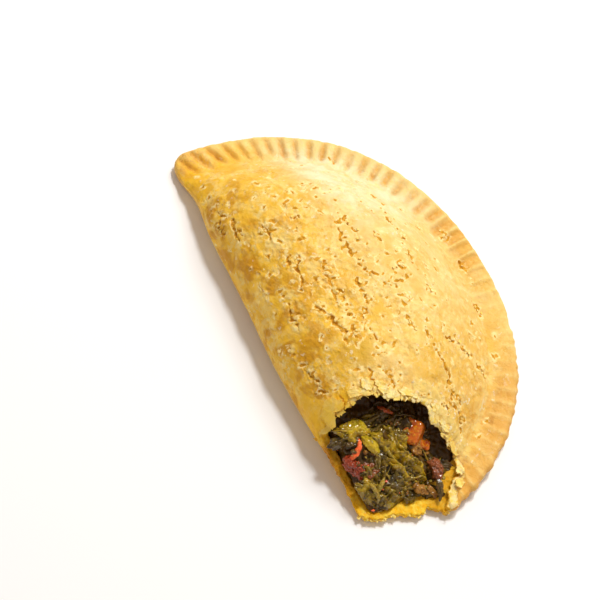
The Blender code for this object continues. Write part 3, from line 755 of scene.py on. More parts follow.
def carveCrust(obj, outerTree, hollowTree, roofLine, floorLine):
    points = placesOf(obj)
    normals = readTriples(obj.data.vertex_normals, "vector")
    x, y, z = points.T
    plan = points[:, :2]

    def soft(size, layer):
        return softNoise(points, size, layer)

    # which skin each point lies on
    world = (points + toFrame) * mm
    toOuter = np.array([outerTree.find_nearest(place)[3] for place in world]) / mm
    toHollow = np.full(len(points), 9.0)
    inside = np.flatnonzero(toOuter > 0.22)
    toHollow[inside] = np.array([hollowTree.find_nearest(place)[3] for place in world[inside]]) / mm
    outer = ease((0.34 - toOuter) / 0.16)
    inner = ease((0.4 - toHollow) / 0.2) * (1 - outer)
    torn = np.clip(1 - outer - inner, 0, 1)
    inward, along = toRim(x, y)
    fromFold = y - foldLine(x)
    seamHeight = np.where(inward < 8, (form["flangeThick"] + form["rimLift"]) / 2, foldHeight(x))
    under = outer * ease((seamHeight - z) / 1.2 + 0.2) * ease((0.35 - normals[:, 2]) / 0.5)
    roof = outer * (1 - under)
    atArc = arcSide(fromFold)

    toEdge = np.full(len(points), farEdge)
    edgeRun = np.zeros(len(points))
    nearBite = x > 22
    toEdge[nearBite], edgeRun[nearBite] = toLine(plan[nearBite], roofLine[::2])
    toLip = np.full(len(points), farEdge)
    toLip[x > 40], _ = toLine(plan[x > 40], floorLine[::2])
    warp = np.stack([soft(1.6, 27 + k) for k in range(3)], axis=-1)
    plates, plateShare = cells(points + 0.6 * warp, 1.9, 8)
    cutHeight = roofCutHeight(x)
    tear, tearDeep, drop, ragged = tornLayers(points, toEdge, edgeRun, plateShare, z > cutHeight - 1.5)

    # cracks, pits and a flaky skin
    openness, sink = crackField(points)
    pitOpenness, pitSink = pitField(points, (roof > 0.5) & (normals[:, 2] > 0.1))
    openness = np.minimum(openness, pitOpenness)
    sink = np.maximum(sink, pitSink)
    besideCrack = bell(np.maximum(openness, 0), 1.6)
    lip = cracks["lip"] * bell(openness - 0.4, 0.3) * np.clip(0.4 + 2 * soft(1.4, 33), 0, 2)
    # a calm spot above the bite: fewer cracks there, and a darker gold painted there as shade
    calmSpot = np.exp(-((x - 22) / 7) ** 2 - ((y - 17) / 6) ** 2)
    rough = ease(soft(7, 34) * 1.2 + 0.3 + 0.45 * busy(points) + 0.5 * besideCrack) * (1 - 0.8 * calmSpot)
    skin = 0.42 * soft(9, 47) + 0.26 * soft(4.2, 35) + 0.09 * soft(1.7, 36) + 0.04 * soft(0.8, 37)
    blister = 0.3 * np.clip(soft(3.4, 38) - 0.2, 0, 1)
    flaky = (0.22 * (plateShare - 0.5) - 0.08 * bell(plates, 0.22)) * rough * (1 + 0.5 * besideCrack)
    loosePlate = ease((6.2 + 1.2 * ragged - toEdge) / 0.5)
    loosePlate = loosePlate * ease((edgeRun - 43) / 2) * (1 - ease((edgeRun - 62) / 3))
    flaky = flaky + 0.32 * loosePlate
    onFlange = 1 - ease((inward - 6) / 5)
    lift = (blister + flaky + lip - sink) * (1 - 0.75 * onFlange)
    lift = (skin * (1 - 0.6 * onFlange) + lift - drop) * roof
    lift += 0.10 * softNoise(triples(inward * 0.35, along, 0), 1.5, 39) * onFlange * roof
    lift += (0.10 * soft(5, 40) + 0.04 * soft(1.2, 41)) * under * ease(z / 1.5)
    lift += (0.32 * soft(1.5, 42) + 0.18 * soft(0.7, 43)) * torn
    lift += 0.22 * soft(2.6, 44) * inner * ease((x - 26) / 4)
    scallops = (1 - ease(inward / 2.2)) * ease((x - 5) / 20) * atArc * outer
    lift += 0.75 * scallops * softNoise(triples(along, 0, 0), 3.0, 57)

    # the skin has come off the fold's broken wall, and the lip is bright inside
    bared = ease((x - 37) / 4) * (1 - ease((fromFold - 5) / 3)) * ease((z - 2.2 + 0.9 * ragged) / 0.8)
    bared = bared * ease((cutHeight + 1.6 - z) / 1.2) * outer
    bright = np.maximum(ease((9 - toLip) / 4), ease((x - 38) / 6) * (1 - ease((fromFold - 4) / 3)))
    bright = bright * inner
    crumbly = 0.5 * soft(1.8, 45) + 0.3 * soft(0.8, 58)
    lift += 0.6 * crumbly * bright * inner - (0.35 + crumbly) * bared
    moved = points + normals * lift[:, None]
    moved[:, 2] = np.maximum(moved[:, 2], 0)
    setPlaces(obj, moved)

    # where the colours go
    # north: over the top of the dome and behind the bite, painted paler, partly as painted light where the
    # top faces the lamp
    north = ease((y - 26) / 14) * (1 - 0.8 * ease((x + 36) / 30)) * ease((inward + 4) / 12)
    north = north * (1 - ease((x - 16) / 16))
    overBite = bell(x - 30, 9) * bell(y - 24, 8)
    # flank: the side above the fold, where mustard is painted, partly the crust's own tone and partly painted
    # shade
    flank = bell(fromFold, 23 + 13 * ease((x + 5) / 28)) * (1 - 0.4 * ease((-x - 62) / 10))
    onTop = roof > 0.3
    setValues(
        obj, torn=torn, inner=inner, under=under, rough=rough, mellow=calmSpot,
        bared=np.clip(bared + bright, 0, 1), north=np.clip(north + 0.5 * overBite, 0, 1),
        flank=np.maximum(flank, calmSpot), east=ease((x - 22) / 34) * ease((y - 12) / 30),
        blotchy=bell(fromFold, 24) * (1 - 0.7 * ease((-x - 48) / 8)) * (1 - calmSpot),
        band=ease((7.2 - toEdge) / 1.5) * ease((edgeRun - 42) / 3) * (1 - ease((edgeRun - 66) / 4)),
        streak=softNoise(triples(inward, along * 0.28, 0), 1.7, 56),
        crackGap=np.clip(np.where(onTop, openness, farGap), -1, farGap),
        tear=np.clip(np.where(onTop, tear, -farGap), -farGap, farGap),
        tearDeep=np.clip(np.where(onTop, tearDeep, -farGap), -farGap, farGap),
        turmeric=ease((24 - edgeRun) / 6) * ease((8 - toEdge) / 5),
        pressed=crimpDip(inward, along) / crimps["depth"] * atArc,
        rim=1 - ease((inward - 0.5) / 9.5), edge=(1 - ease(inward / 1.6)) * atArc,
        tip=bell(x + 73, 7) * bell(y, 12), deepEnd=bell(inward - 7, 2.6),
        # the collar band along the dome's foot carries painted light, as if caught on that ridge
        collar=bell(inward - 10.6 - 0.8 * ragged, 1.1) * ease((y - 20) / 20),
    )
    # the underside and the hollow keep fewer triangles
    group = obj.vertex_groups.new(name="plain")
    plain = (under > 0.5) | (inner > 0.5) & (x < 28)
    for chosen, weight in ((plain, 1.0), (~plain, 0.5)):
        group.add([int(i) for i in np.flatnonzero(chosen)], weight, "REPLACE")
    print("crust carved")


# lift above the top in the middle, curl at the edge, outline in plan
tongues = [
    (0.75, 0.2, [(30.8, 2.3), (29.7, 3.4), (30.5, 5.1), (32.4, 6.7), (34.6, 6.9), (35.1, 5.4), (34.7, 4.1),
     (36.2, 3.4), (37.9, 2.9), (38.2, 1.9), (36.2, 1.2), (33.7, 1.1), (31.7, 1.4)]),
    (0.5, 0.15, [(31, 9), (31.6, 11.6), (33.5, 14.2), (35.3, 15), (35.9, 14), (34.6, 12.5), (34, 10.6),
     (33.4, 9)]),
    (0.7, 0.15, [(30.2, 14), (30.4, 16.2), (33.2, 16.6), (34.9, 15.4), (34.2, 13.8), (32.2, 13.2)]),
    (0.4, 0.15, [(32.3, 17), (33.1, 19.3), (35.6, 20.4), (37.1, 19), (37.5, 17.8), (35.4, 17.2)]),
    (0.15, 0.1, [(36.4, 18.7), (36.1, 20.8), (37.8, 22.1), (39.2, 21), (39.1, 19.4), (38.2, 18.5)]),
    (0.15, 0.1, [(37.6, 22.9), (37.4, 25), (38.9, 26.9), (41.1, 28.2), (41.8, 27.6), (40.4, 25.6),
     (39.6, 23.4)]),
    (0.3, 0.05, [(43.8, 31.9), (44.2, 34.2), (46, 35), (47.1, 33.4), (46.2, 31.9)]),
    (0.3, 0.1, [(48.6, 32.9), (48.4, 34.6), (50.4, 36), (52.4, 35.6), (51.8, 34)]),
    (0.25, 0.1, [(55, 34.8), (54.6, 36.4), (56.8, 37.4), (58.6, 36.6), (57.6, 35)]),
    (0.4, 0.15, [(61.2, 34.6), (61, 36.2), (63.2, 36.8), (64.6, 35), (63.4, 33.8)]),
    (0.4, 0.15, [(65.2, 32), (65, 33.6), (66.9, 34.4), (68.2, 32.6), (67, 31.2)]),
]
lipTeeth = [
    [(59.9, 0.8), (59.6, 2.6), (61.6, 4.4), (62.6, 3.4), (64.6, 2.4), (62.4, 1.4)],
    [(62, 5.6), (62.4, 7.8), (64.8, 8.4), (66.9, 7.4), (64.9, 6.4)],
    [(63, 3.6), (62.6, 5), (64.4, 5.8), (65.8, 4.8), (64.6, 4)],
    [(64.3, 9.6), (64.8, 11.4), (66.2, 11.6), (67.4, 10.4), (65.6, 9.4)],
    [(65.4, 12.6), (66, 14.2), (67, 15.6), (68.8, 15), (66.9, 13.2)],
    [(66.6, 16.8), (66.4, 18.6), (68, 20.4), (69.8, 19.7), (68.4, 17.8)],
    [(65.8, 20.4), (66.6, 21.8), (68.8, 21.4), (67.6, 20.2)],
]
flakeShares = (0.3, 0.6, 0.85, 0.97)
tongueRays = 96
chipRays = 16


def polygonReach(corners, angles):
    # from the middle to the outline, along each angle
    reach = np.full(len(angles), 0.1)
    ahead = np.cos(angles), np.sin(angles)
    for start, stop in zip(corners, np.roll(corners, -1, axis=0)):
        step = stop - start
        across = ahead[0] * step[1] - ahead[1] * step[0]
        across = np.where(np.abs(across) < 1e-9, 1e-9, across)
        far = (start[0] * step[1] - start[1] * step[0]) / across
        share = (start[0] * ahead[1] - start[1] * ahead[0]) / across
        hit = (share >= -1e-6) & (share <= 1 + 1e-6) & (far > 0)
        reach = np.where(hit, np.maximum(reach, far), reach)
    return reach


def flakeSkin(outline, heightAt, lift, curl, thick, seed, rays, jag):
    # a thin pad with a jagged outline, its rim curled up or down
    outline = np.array(outline, float)
    middle = outline.mean(0)
    corners = outline - middle
    angles = np.arange(rays) * 2 * math.pi / rays
    for corner in corners:
        angle = math.atan2(corner[1], corner[0]) % (2 * math.pi)
        angles[int(round(angle / (2 * math.pi) * rays)) % rays] = angle
    reach = polygonReach(corners, angles)
    draw = random.Random(seed)
    rim = triples(reach * np.cos(angles), reach * np.sin(angles), seed * 3.1)
    reach = reach * (1 + 0.06 * softNoise(rim, 1.7, 48)) + jag * (1.6 * softNoise(rim, 0.9, 49))
    reach = np.maximum(reach + np.array([draw.uniform(-1, 1) for _ in range(rays)]) * jag * 0.8, 0.1)
    tilt = np.array([draw.uniform(-0.05, 0.05), draw.uniform(-0.05, 0.05)])

    def row(share, side):
        plan = np.column_stack([np.cos(angles), np.sin(angles)]) * (reach * share)[:, None]
        x, y = (plan + middle).T
        flat = triples(x, y, seed)
        waves = thick * (0.4 * softNoise(flat, 1.6, 46) + 0.3 * softNoise(flat, 0.7, 50))
        z = heightAt(x, y) + lift + curl * share ** 2 + waves + plan @ tilt
        return triples(x, y, z + side * thick / 2)

    rows = [row(share, 1) for share in flakeShares] + [row(1, 0.5), row(1, -0.8)]
    rows += [row(share, -1) for share in reversed(flakeShares)]
    centre = np.array([*middle, heightAt(middle[:1], middle[1:])[0] + lift])
    return rows, centre + (0, 0, thick / 2), centre - (0, 0, thick / 2)


def turnedPlan(x, y, degrees):
    turn = math.radians(degrees)
    return x * math.cos(turn) - y * math.sin(turn), x * math.sin(turn) + y * math.cos(turn)


def chipOutline(x, y, size, draw):
    corners = draw.choice((3, 4, 5, 5))
    turn = draw.uniform(0, 360)
    stretch = draw.uniform(0.45, 1)
    outline = []
    for k in range(corners):
        angle = 2 * math.pi * (k + draw.uniform(-0.3, 0.3)) / corners
        radius = size * draw.uniform(0.6, 1.2)
        px, py = turnedPlan(math.cos(angle) * radius, math.sin(angle) * radius * stretch, turn)
        outline.append((x + px, y + py))
    return outline


def edgeFlakes(line, heightAt, count, sizes, back, seed, first, last):
    # chips lying along a broken edge, from the first to the last millimetre of its run
    draw = random.Random(seed)
    runs = runsOf(line)
    skins = []
    for i in range(count):
        k = min(max(int(np.searchsorted(runs, draw.uniform(first, last))), 1), len(line) - 2)
        along = line[k + 1] - line[k - 1]
        spot = line[k] + unit(np.array([-along[1], along[0]])) * draw.uniform(*back)
        size = draw.uniform(*sizes)
        outline = chipOutline(spot[0], spot[1], size, draw)
        lift = draw.uniform(0.0, 0.16)
        curl = draw.uniform(-0.1, 0.15) * size
        skins.append(flakeSkin(outline, heightAt, lift, curl, thick=0.26, seed=seed + i, rays=chipRays,
                               jag=0.08))
    return skins


def crackChips(count, seed):
    # crumbs of skin beside the cracks
    draw = random.Random(seed)
    skins = []
    for i in range(count):
        route = draw.choice(crackRoutes)
        k = draw.randrange(len(route) - 1)
        share = draw.random()
        x, y = (a + (b - a) * share + draw.gauss(0, 0.9) for a, b in zip(route[k], route[k + 1]))
        outline = chipOutline(x, y, draw.uniform(0.3, 0.8), draw)
        lift = draw.uniform(0.1, 0.25)
        skins.append(flakeSkin(outline, topHeight, lift, curl=0.05, thick=0.25, seed=seed + i,
                               rays=chipRays, jag=0.03))
    return skins


def makeFlakes(roofLine, floorLine):
    def lipHeight(x, y):
        return 1.9 + 0 * x

    big = [flakeSkin(outline, topHeight, lift, curl, thick=0.5, seed=300 + i, rays=tongueRays, jag=0.26)
           for i, (lift, curl, outline) in enumerate(tongues)]
    small = edgeFlakes(roofLine, topHeight, count=80, sizes=(0.5, 1.3), back=(-0.2, 1.8), seed=61,
                       first=10, last=44)
    small += edgeFlakes(roofLine, topHeight, count=46, sizes=(0.4, 1.0), back=(-0.1, 1.4), seed=62,
                        first=44, last=70)
    small += crackChips(count=90, seed=71)
    small += edgeFlakes(floorLine, lipHeight, count=34, sizes=(0.7, 1.5), back=(-0.2, 1.0), seed=83,
                        first=10, last=36)
    small += [flakeSkin(tooth, lipHeight, 0.55, -0.35, thick=0.45, seed=500 + i, rays=chipRays, jag=0.1)
              for i, tooth in enumerate(lipTeeth)]
    flakes = joinAll([shapeMany("flake", tongueRays, big), shapeMany("chip", chipRays, small)], "crustFlakes")
    outwards(flakes)
    x, y, z = placesOf(flakes).T
    setValues(flakes, turmeric=(1 - ease((y - 7) / 8)) * (1 - ease((x - 44) / 4)),
              lip=ease((x - 56) / 3) * (1 - ease((z - 4) / 2)))
    return flakes


def creases(points, size, layer):
    # 1 along sharp folds, falling away to either side
    return np.clip(1 - 2.6 * np.abs(softNoise(points, size, layer)), 0, 1)


def makeCore(floorLine):
    core = makeLens("core", heap["rays"], heap["gap"], heapHeight, *heap["rows"])
    cut(core, makeCutter("trimmer", floorLine - (slope["setback"], 0), -5, form["height"] + 12))
    remesh(core, heap["voxel"])
    points = placesOf(core)
    normals = readTriples(core.data.vertex_normals, "vector")
    bared = ease((points[:, 0] - 31) / 6) * ease((normals[:, 2] + 0.1) / 0.5)
    relief = creases(points * (0.7, 1, 1), 5, 51) - 0.5 + 0.6 * (creases(points, 2.2, 52) - 0.4)
    relief += 0.25 * softNoise(points, 0.9, 53)
    setPlaces(core, points + normals * (relief * bared)[:, None])
    # ridge: how high each point stands on the relief, for painted light on the ridges
    setValues(core, ridge=np.clip(0.5 + relief * 0.6, 0, 1))
    thinTo(core, heap["triangles"])
    return smooth(core)


# at: middle in plan, long and wide: size, turn: degrees in plan, lift: above the heap, tip: degrees of slope,
# fold: height of its creases, tone: 0 dark olive to 1 yellow-green
leafParts = ("at", "long", "wide", "turn", "lift", "fold", "tone", "tip")
leaves = [dict(zip(leafParts, row)) for row in (
    ((40.6, 8.6), 12, 8, 62, 0.9, 1.3, 0.95, 4),
    ((42.2, 3.4), 9, 5.5, 58, 0.4, 0.8, 0.25, -10),
    ((41.2, 15.6), 13, 9, 84, 0.2, 1.4, 0.35, 8),
    ((50.6, 15), 14, 9, 35, 1.2, 2, 0.6, 4),
    ((48.2, 18.4), 12, 7.5, 12, 1.3, 1.8, 0.7, -6),
    ((53, 11.6), 12, 8, -30, 0.5, 1.5, 0.3, 6),
    ((56.4, 19.4), 11.5, 9.5, 40, 2.1, 2.5, 0.95, 10),
    ((59.4, 15.2), 13, 7.5, 78, 0.7, 1.4, 0.3, 0),
    ((61.4, 11.8), 12, 6.5, 96, 0.9, 1.7, 0.45, 6),
    ((58.6, 6.2), 11, 6.5, 52, 1.1, 1.6, 0.8, 4),
    ((55.6, 7.6), 9, 6, 15, 0.8, 1.4, 0.6, 8),
    ((61.8, 17.6), 9, 6, 60, 0.4, 1.2, 0.45, 4),
    ((64.4, 24.4), 8, 4.5, 40, 0.3, 1, 0.3, 0),
    # these four, under the roof's edge, are given dark tones as painted shade
    ((44, 20.6), 10, 7, 110, 0.2, 1.2, 0.15, 0),
    ((38.6, 19.8), 12, 8, 75, 0.2, 1.3, 0.12, 0),
    ((52.6, 27.4), 9, 6, 30, 0.2, 1, 0.05, 0),
    ((57, 30.2), 9, 6, 60, 0.2, 1, 0.02, 0),
    ((52.6, 7), 7, 5, 75, 0.8, 1.3, 0.4, 0),
    ((47.6, 21.6), 7, 5, 55, 0.9, 1.1, 0.65, 10),
)]


def makeLeaf(index, leaf):
    deselectAll()
    bpy.ops.mesh.primitive_grid_add(x_subdivisions=44, y_subdivisions=32, size=2)
    obj = newPiece("leaf")
    u, v, _ = readTriples(obj.data.vertices).T
    flat = triples(u * 3, v * 3, index * 9.7)
    ragged = 1 + 0.22 * softNoise(flat, 1.1, 61) + 0.1 * softNoise(flat, 0.4, 62)
    half = leaf["wide"] / 2 * (1 - 0.72 * np.abs(u) ** 2.3) * ragged
    length = leaf["long"] / 2 * (1 - 0.2 * np.abs(v) ** 2) * ragged
    x = u * length
    y = v * half + 0.8 * np.sin(u * 2.2 + index)
    gathered = triples(x * 0.55, y, index * 5.3)
    fold = creases(gathered, 3.1, 63) - 0.4 + 0.45 * (creases(gathered, 1.3, 64) - 0.4)
    edge = np.maximum(np.abs(u) ** 4, np.abs(v) ** 4)
    rise = leaf["lift"] + 1.25 * leaf["fold"] * fold * (1 - 0.5 * edge) - 1.5 * edge
    rise = rise + 0.35 * bell(v, 0.09) - math.tan(math.radians(leaf["tip"])) * x
    x = x + 0.5 * softNoise(gathered, 2.4, 65)
    y = y + 0.6 * softNoise(gathered, 2.4, 66)
    x, y = turnedPlan(x, y, leaf["turn"])
    x = x + leaf["at"][0]
    y = y + leaf["at"][1]
    setPlaces(obj, triples(x, y, smoothHeap(x, y) + rise))
    # hollow marks the low places of the folds, for painted shade there
    setValues(obj, leafAlong=u, leafAcross=v, hollow=ease((0.12 - fold) / 0.42),
              tone=np.clip(leaf["tone"] + 0.35 * softNoise(gathered, 3.5, 67), 0, 1))
    applyModifier(obj, "SOLIDIFY", thickness=0.38 * mm, offset=0)
    return smooth(obj)


# size, middle, turn in degrees, how square, height of its bumps
chunkParts = ("size", "at", "turn", "square", "bumps")
chunks = {
    "carrot": ((8.8, 8, 7), (46.4, 25, 9.9), (18, -14, 35), 6.5, 0.25),
    "carrotChip": ((5, 3.6, 3), (51.2, 27.6, 8), (10, 30, 60), 4, 0.3),
    "onion": ((6, 4, 3.6), (50.8, 24.4, 9.2), (30, 12, 20), 4, 0.9),
    "tomato": ((7.6, 5, 4), (49.6, 4.8, 9.6), (-14, 16, 28), 3.2, 1.2),
    "mushroom": ((6, 3.8, 3), (59.6, 28.2, 6.6), (12, 8, -5), 4, 1.3),
    "onionLow": ((5.2, 3, 1.6), (63.4, 21.4, 5.2), (16, 24, 70), 5, 0.5),
    "onionTip": ((4.4, 1.8, 1.2), (65.2, 24, 4.8), (10, 26, 30), 4, 0.5),
    "brownLump": ((5.4, 4.4, 3.2), (52.4, 8, 9.2), (10, 0, 30), 3, 1.2),
}


def makeChunk(name, index):
    chunk = dict(zip(chunkParts, chunks[name]))
    deselectAll()
    bpy.ops.mesh.primitive_cube_add(size=2)
    obj = newPiece(name)
    editAll(obj, bpy.ops.mesh.subdivide, number_cuts=31)
    cube = readTriples(obj.data.vertices)
    power = chunk["square"]
    swell = (np.abs(cube) ** power).sum(1) ** (1 / power)
    shaped = cube / swell[:, None] * np.array(chunk["size"]) / 2
    spots = shaped + index * 13.1
    bumps = 0.7 * softNoise(spots, 2.6, 71) + 0.5 * softNoise(spots, 1.1, 72)
    bumps += 0.25 * softNoise(spots, 0.5, 74) - 0.35 * creases(spots, 2.0, 73)
    shaped = shaped + unit(shaped) * (chunk["bumps"] * bumps)[:, None]
    rotation = Euler([math.radians(angle) for angle in chunk["turn"]]).to_matrix()
    setPlaces(obj, shaped @ np.array(rotation).T + np.array(chunk["at"]))
    return smooth(obj)


strandSides = 24
looseSides = 8
bitSides = 10
bitRows = 7


def smoothAlong(share, values):
    # a smooth line through evenly spaced values
    values = np.array(values, float)
    knots = np.linspace(0, 1, len(values))
    slopes = np.gradient(values, knots)
    share = np.clip(share, 0, 1.02)
    part = np.clip(np.searchsorted(knots, share) - 1, 0, len(knots) - 2)
    width = knots[part + 1] - knots[part]
    t = (share - knots[part]) / width
    return ((1 + 2 * t) * (1 - t) ** 2 * values[part] + t * (1 - t) ** 2 * width * slopes[part]
            + t ** 2 * (3 - 2 * t) * values[part + 1] + t ** 2 * (t - 1) * width * slopes[part + 1])


def strandSkin(path, radii, flat, steps, sides, wrinkle=0.12, ribs=0.0):
    # the rows of a tube along a smooth path
    share = np.linspace(0.015, 0.985, steps)
    path = np.array(path, float)
    middle, ahead = (np.stack([smoothAlong(at, path[:, axis]) for axis in range(3)], axis=-1)
                     for at in (share, share + 0.01))
    run = unit(ahead - middle)
    side = unit(np.cross(run, (0, 0, 1)))
    top = np.cross(side, run)
    radius = smoothAlong(share, radii) * np.sqrt(1 - np.abs(2 * share - 1) ** 6)
    turn = np.arange(sides) * 2 * math.pi / sides
    out = side[:, None] * np.cos(turn)[None, :, None] + top[:, None] * flat * np.sin(turn)[None, :, None]
    out = out * (radius[:, None] * (1 + ribs * np.cos(turn * 5)))[..., None]
    places = (middle[:, None] + out).reshape(-1, 3)
    for axis in range(3):
        places[:, axis] += wrinkle * softNoise(places, 1.1, 81 + axis)
    return places.reshape(steps, sides, 3), path[0], path[-1]


def looseStrands(count, seed):
    draw = random.Random(seed)
    skins = []
    while len(skins) < count:
        x = draw.uniform(40, 63)
        y = draw.uniform(4, 26) if x > 50 else draw.uniform(4, 21)
        heading = draw.gauss(1.0, 0.8)
        length = draw.uniform(4, 9)
        path = []
        for _ in range(5):
            path.append((x, y))
            heading += draw.uniform(-0.5, 0.5)
            x += math.cos(heading) * length / 4
            y += math.sin(heading) * length / 4
        across, up = np.array(path).T
        lift = np.array([-0.3, 0.9, 1.5, 1.0, -0.2]) * draw.uniform(0.5, 1.0) + 0.2
        thick = draw.uniform(0.18, 0.45)
        if not ((across < 63) & (up > 4) & (across > 39)).all():
            continue
        radii = (0.08, thick, thick * 0.8, thick, 0.08)
        path = triples(across, up, smoothHeap(across, up) + lift)
        skins.append(strandSkin(path, radii, flat=0.6, steps=24, sides=looseSides))
    return skins


def bitSkins(count, seed, size):
    # crumbs and specks on the heap
    draw = random.Random(seed)
    tilts = np.linspace(0, math.pi, bitRows + 2)[1:-1, None]
    turns = np.arange(bitSides) * 2 * math.pi / bitSides
    ball = triples(np.sin(tilts) * np.cos(turns), np.sin(tilts) * np.sin(turns), np.cos(tilts))
    ball = np.concatenate([ball.reshape(-1, 3), [(0, 0, 1), (0, 0, -1)]])
    skins = []
    while len(skins) < count:
        x = draw.uniform(38, 64)
        y = draw.uniform(4, 30)
        radius = draw.uniform(*size)
        stretch = np.array([draw.uniform(0.6, 1.7), draw.uniform(0.6, 1.2), draw.uniform(0.35, 0.8)])
        turn = draw.uniform(0, 180)
        shift = draw.uniform(0, 90)
        lift = draw.uniform(0.2, 1.2)
        if x > 62.5 + abs(y - 16) * 0.1 or x < 37 + abs(y - 15) * 0.35:
            continue
        shaped = ball * (1 + 0.5 * softNoise(ball + shift, 0.8, 91))[:, None] * stretch
        px, py = turnedPlan(shaped[:, 0], shaped[:, 1], turn)
        shaped = triples(px, py, shaped[:, 2]) * radius + (x, y, smoothHeap(x, y) + lift)
        skins.append((shaped[:-2].reshape(bitRows, bitSides, 3), shaped[-2], shaped[-1]))
    return skins


def roofShade(places):
    # where shade is painted on the filling: 1 under the roof, falling to 0 a few millimetres out from its
    # broken edge
    edge = np.array(bite["roofEdge"], float)
    corner = bite["roofCorner"]
    x, y = places[:, 0], places[:, 1]
    toBack = x - np.interp(y, edge[:corner + 1, 1], edge[:corner + 1, 0])
    toSide = np.interp(x, edge[corner:, 0], edge[corner:, 1]) - y
    ahead = np.minimum(toBack, np.where(x > edge[corner, 0], toSide, 99))
    return 1 - ease((ahead + 1.5 + 1.2 * softNoise(places, 4, 55)) / 6)


def fillingPiece(objects, name, material):
    piece = joinAll(objects, name)
    setValues(piece, shade=roofShade(placesOf(piece)))
    dress(piece, material)
    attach(piece, "root")
    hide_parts("filling")


# path, radii along it, and how flat
strandPaths = {
    "pod": ([(42.9, 9.4, 13.6), (45.1, 10.3, 14.2), (47, 11.2, 13.6), (50, 12.2, 11.8)],
            (0.7, 1.5, 1.8, 0.8), 0.75),
    "podTwo": ([(40.6, 3.8, 13), (39.9, 7, 14.2), (40.1, 9.9, 14.4), (42.6, 11.8, 13.8)],
               (0.9, 2.1, 2.2, 0.8), 0.5),
    "pepper": ([(43.4, 8.4, 14), (45.5, 7.6, 14.2), (47.1, 5.6, 13.2), (48, 2.9, 11.6)],
               (0.3, 0.7, 0.95, 0.4), 0.5),
    "stemOne": ([(54.2, 5, 7.8), (56.9, 6.4, 9.2), (60.1, 6.9, 8.2), (62.1, 6.4, 6.4)],
                (0.3, 0.7, 0.6, 0.3), 0.7),
    "stemTwo": ([(56, 11.4, 9), (58, 9.2, 9.2), (59.4, 7, 8.2)], (0.3, 0.7, 0.35), 0.7),
    "stemDark": ([(61.4, 27.2, 6.8), (65.4, 26.4, 6.2), (69, 24.6, 4.4)], (0.5, 1, 0.4), 0.6),
    "redUnderRoof": ([(36.4, 18.4, 14), (38.6, 19.8, 14.6), (40.8, 22.4, 13.8)], (0.4, 0.8, 0.4), 0.6),
}


def makeFilling(floorLine):
    fillingPiece([makeCore(floorLine)], "heapCore", coreMaterial())
    fillingPiece([makeLeaf(i, leaf) for i, leaf in enumerate(leaves)], "wiltedLeaves", leafMaterial())
    wet = {name: wetMaterial(name, *look) for name, look in wetLooks.items()}
    kinds = {
        "carrotChunks": ("cookedCarrot", "carrot", "carrotChip"),
        "onionChunks": ("stewedOnion", "onion", "onionLow", "onionTip"),
        "tomatoChunks": ("redMince", "tomato"),
        "brownChunks": ("brownLump", "mushroom", "brownLump"),
    }
    for name, (look, *names) in kinds.items():
        fillingPiece([makeChunk(each, i) for i, each in enumerate(names)], name, wet[look])

    def strand(name, ribs=0.05):
        return strandSkin(*strandPaths[name], steps=40, sides=strandSides, wrinkle=0.22, ribs=ribs)

    groups = [
        ("greenStalks", strandSides, [strand("pod", 0.1), strand("podTwo", 0.08)], "greenStalk"),
        ("pepperStrips", strandSides, [strand("pepper"), strand("redUnderRoof")], "redPepper"),
        ("paleStems", strandSides, [strand("stemOne"), strand("stemTwo")], "paleStems"),
        ("darkStem", strandSides, [strand("stemDark")], "darkStems"),
        ("paleStrands", looseSides, looseStrands(count=12, seed=3), "paleStems"),
        ("darkStrands", looseSides, looseStrands(count=16, seed=9), "darkStems"),
        ("darkBits", bitSides, bitSkins(count=90, seed=14, size=(0.25, 0.8)), "darkStems"),
        ("redBits", bitSides, bitSkins(count=12, seed=15, size=(0.25, 0.55)), "redPepper"),
        ("paleBits", bitSides, bitSkins(count=60, seed=16, size=(0.2, 0.6)), "paleStems"),
        ("onionBits", bitSides, bitSkins(count=36, seed=17, size=(0.35, 1.0)), "brownOnion"),
    ]
    for name, sides, skins, look in groups:
        piece = shapeMany(name, sides, skins)
        outwards(piece)
        fillingPiece([smooth(piece)], name, wet[look])


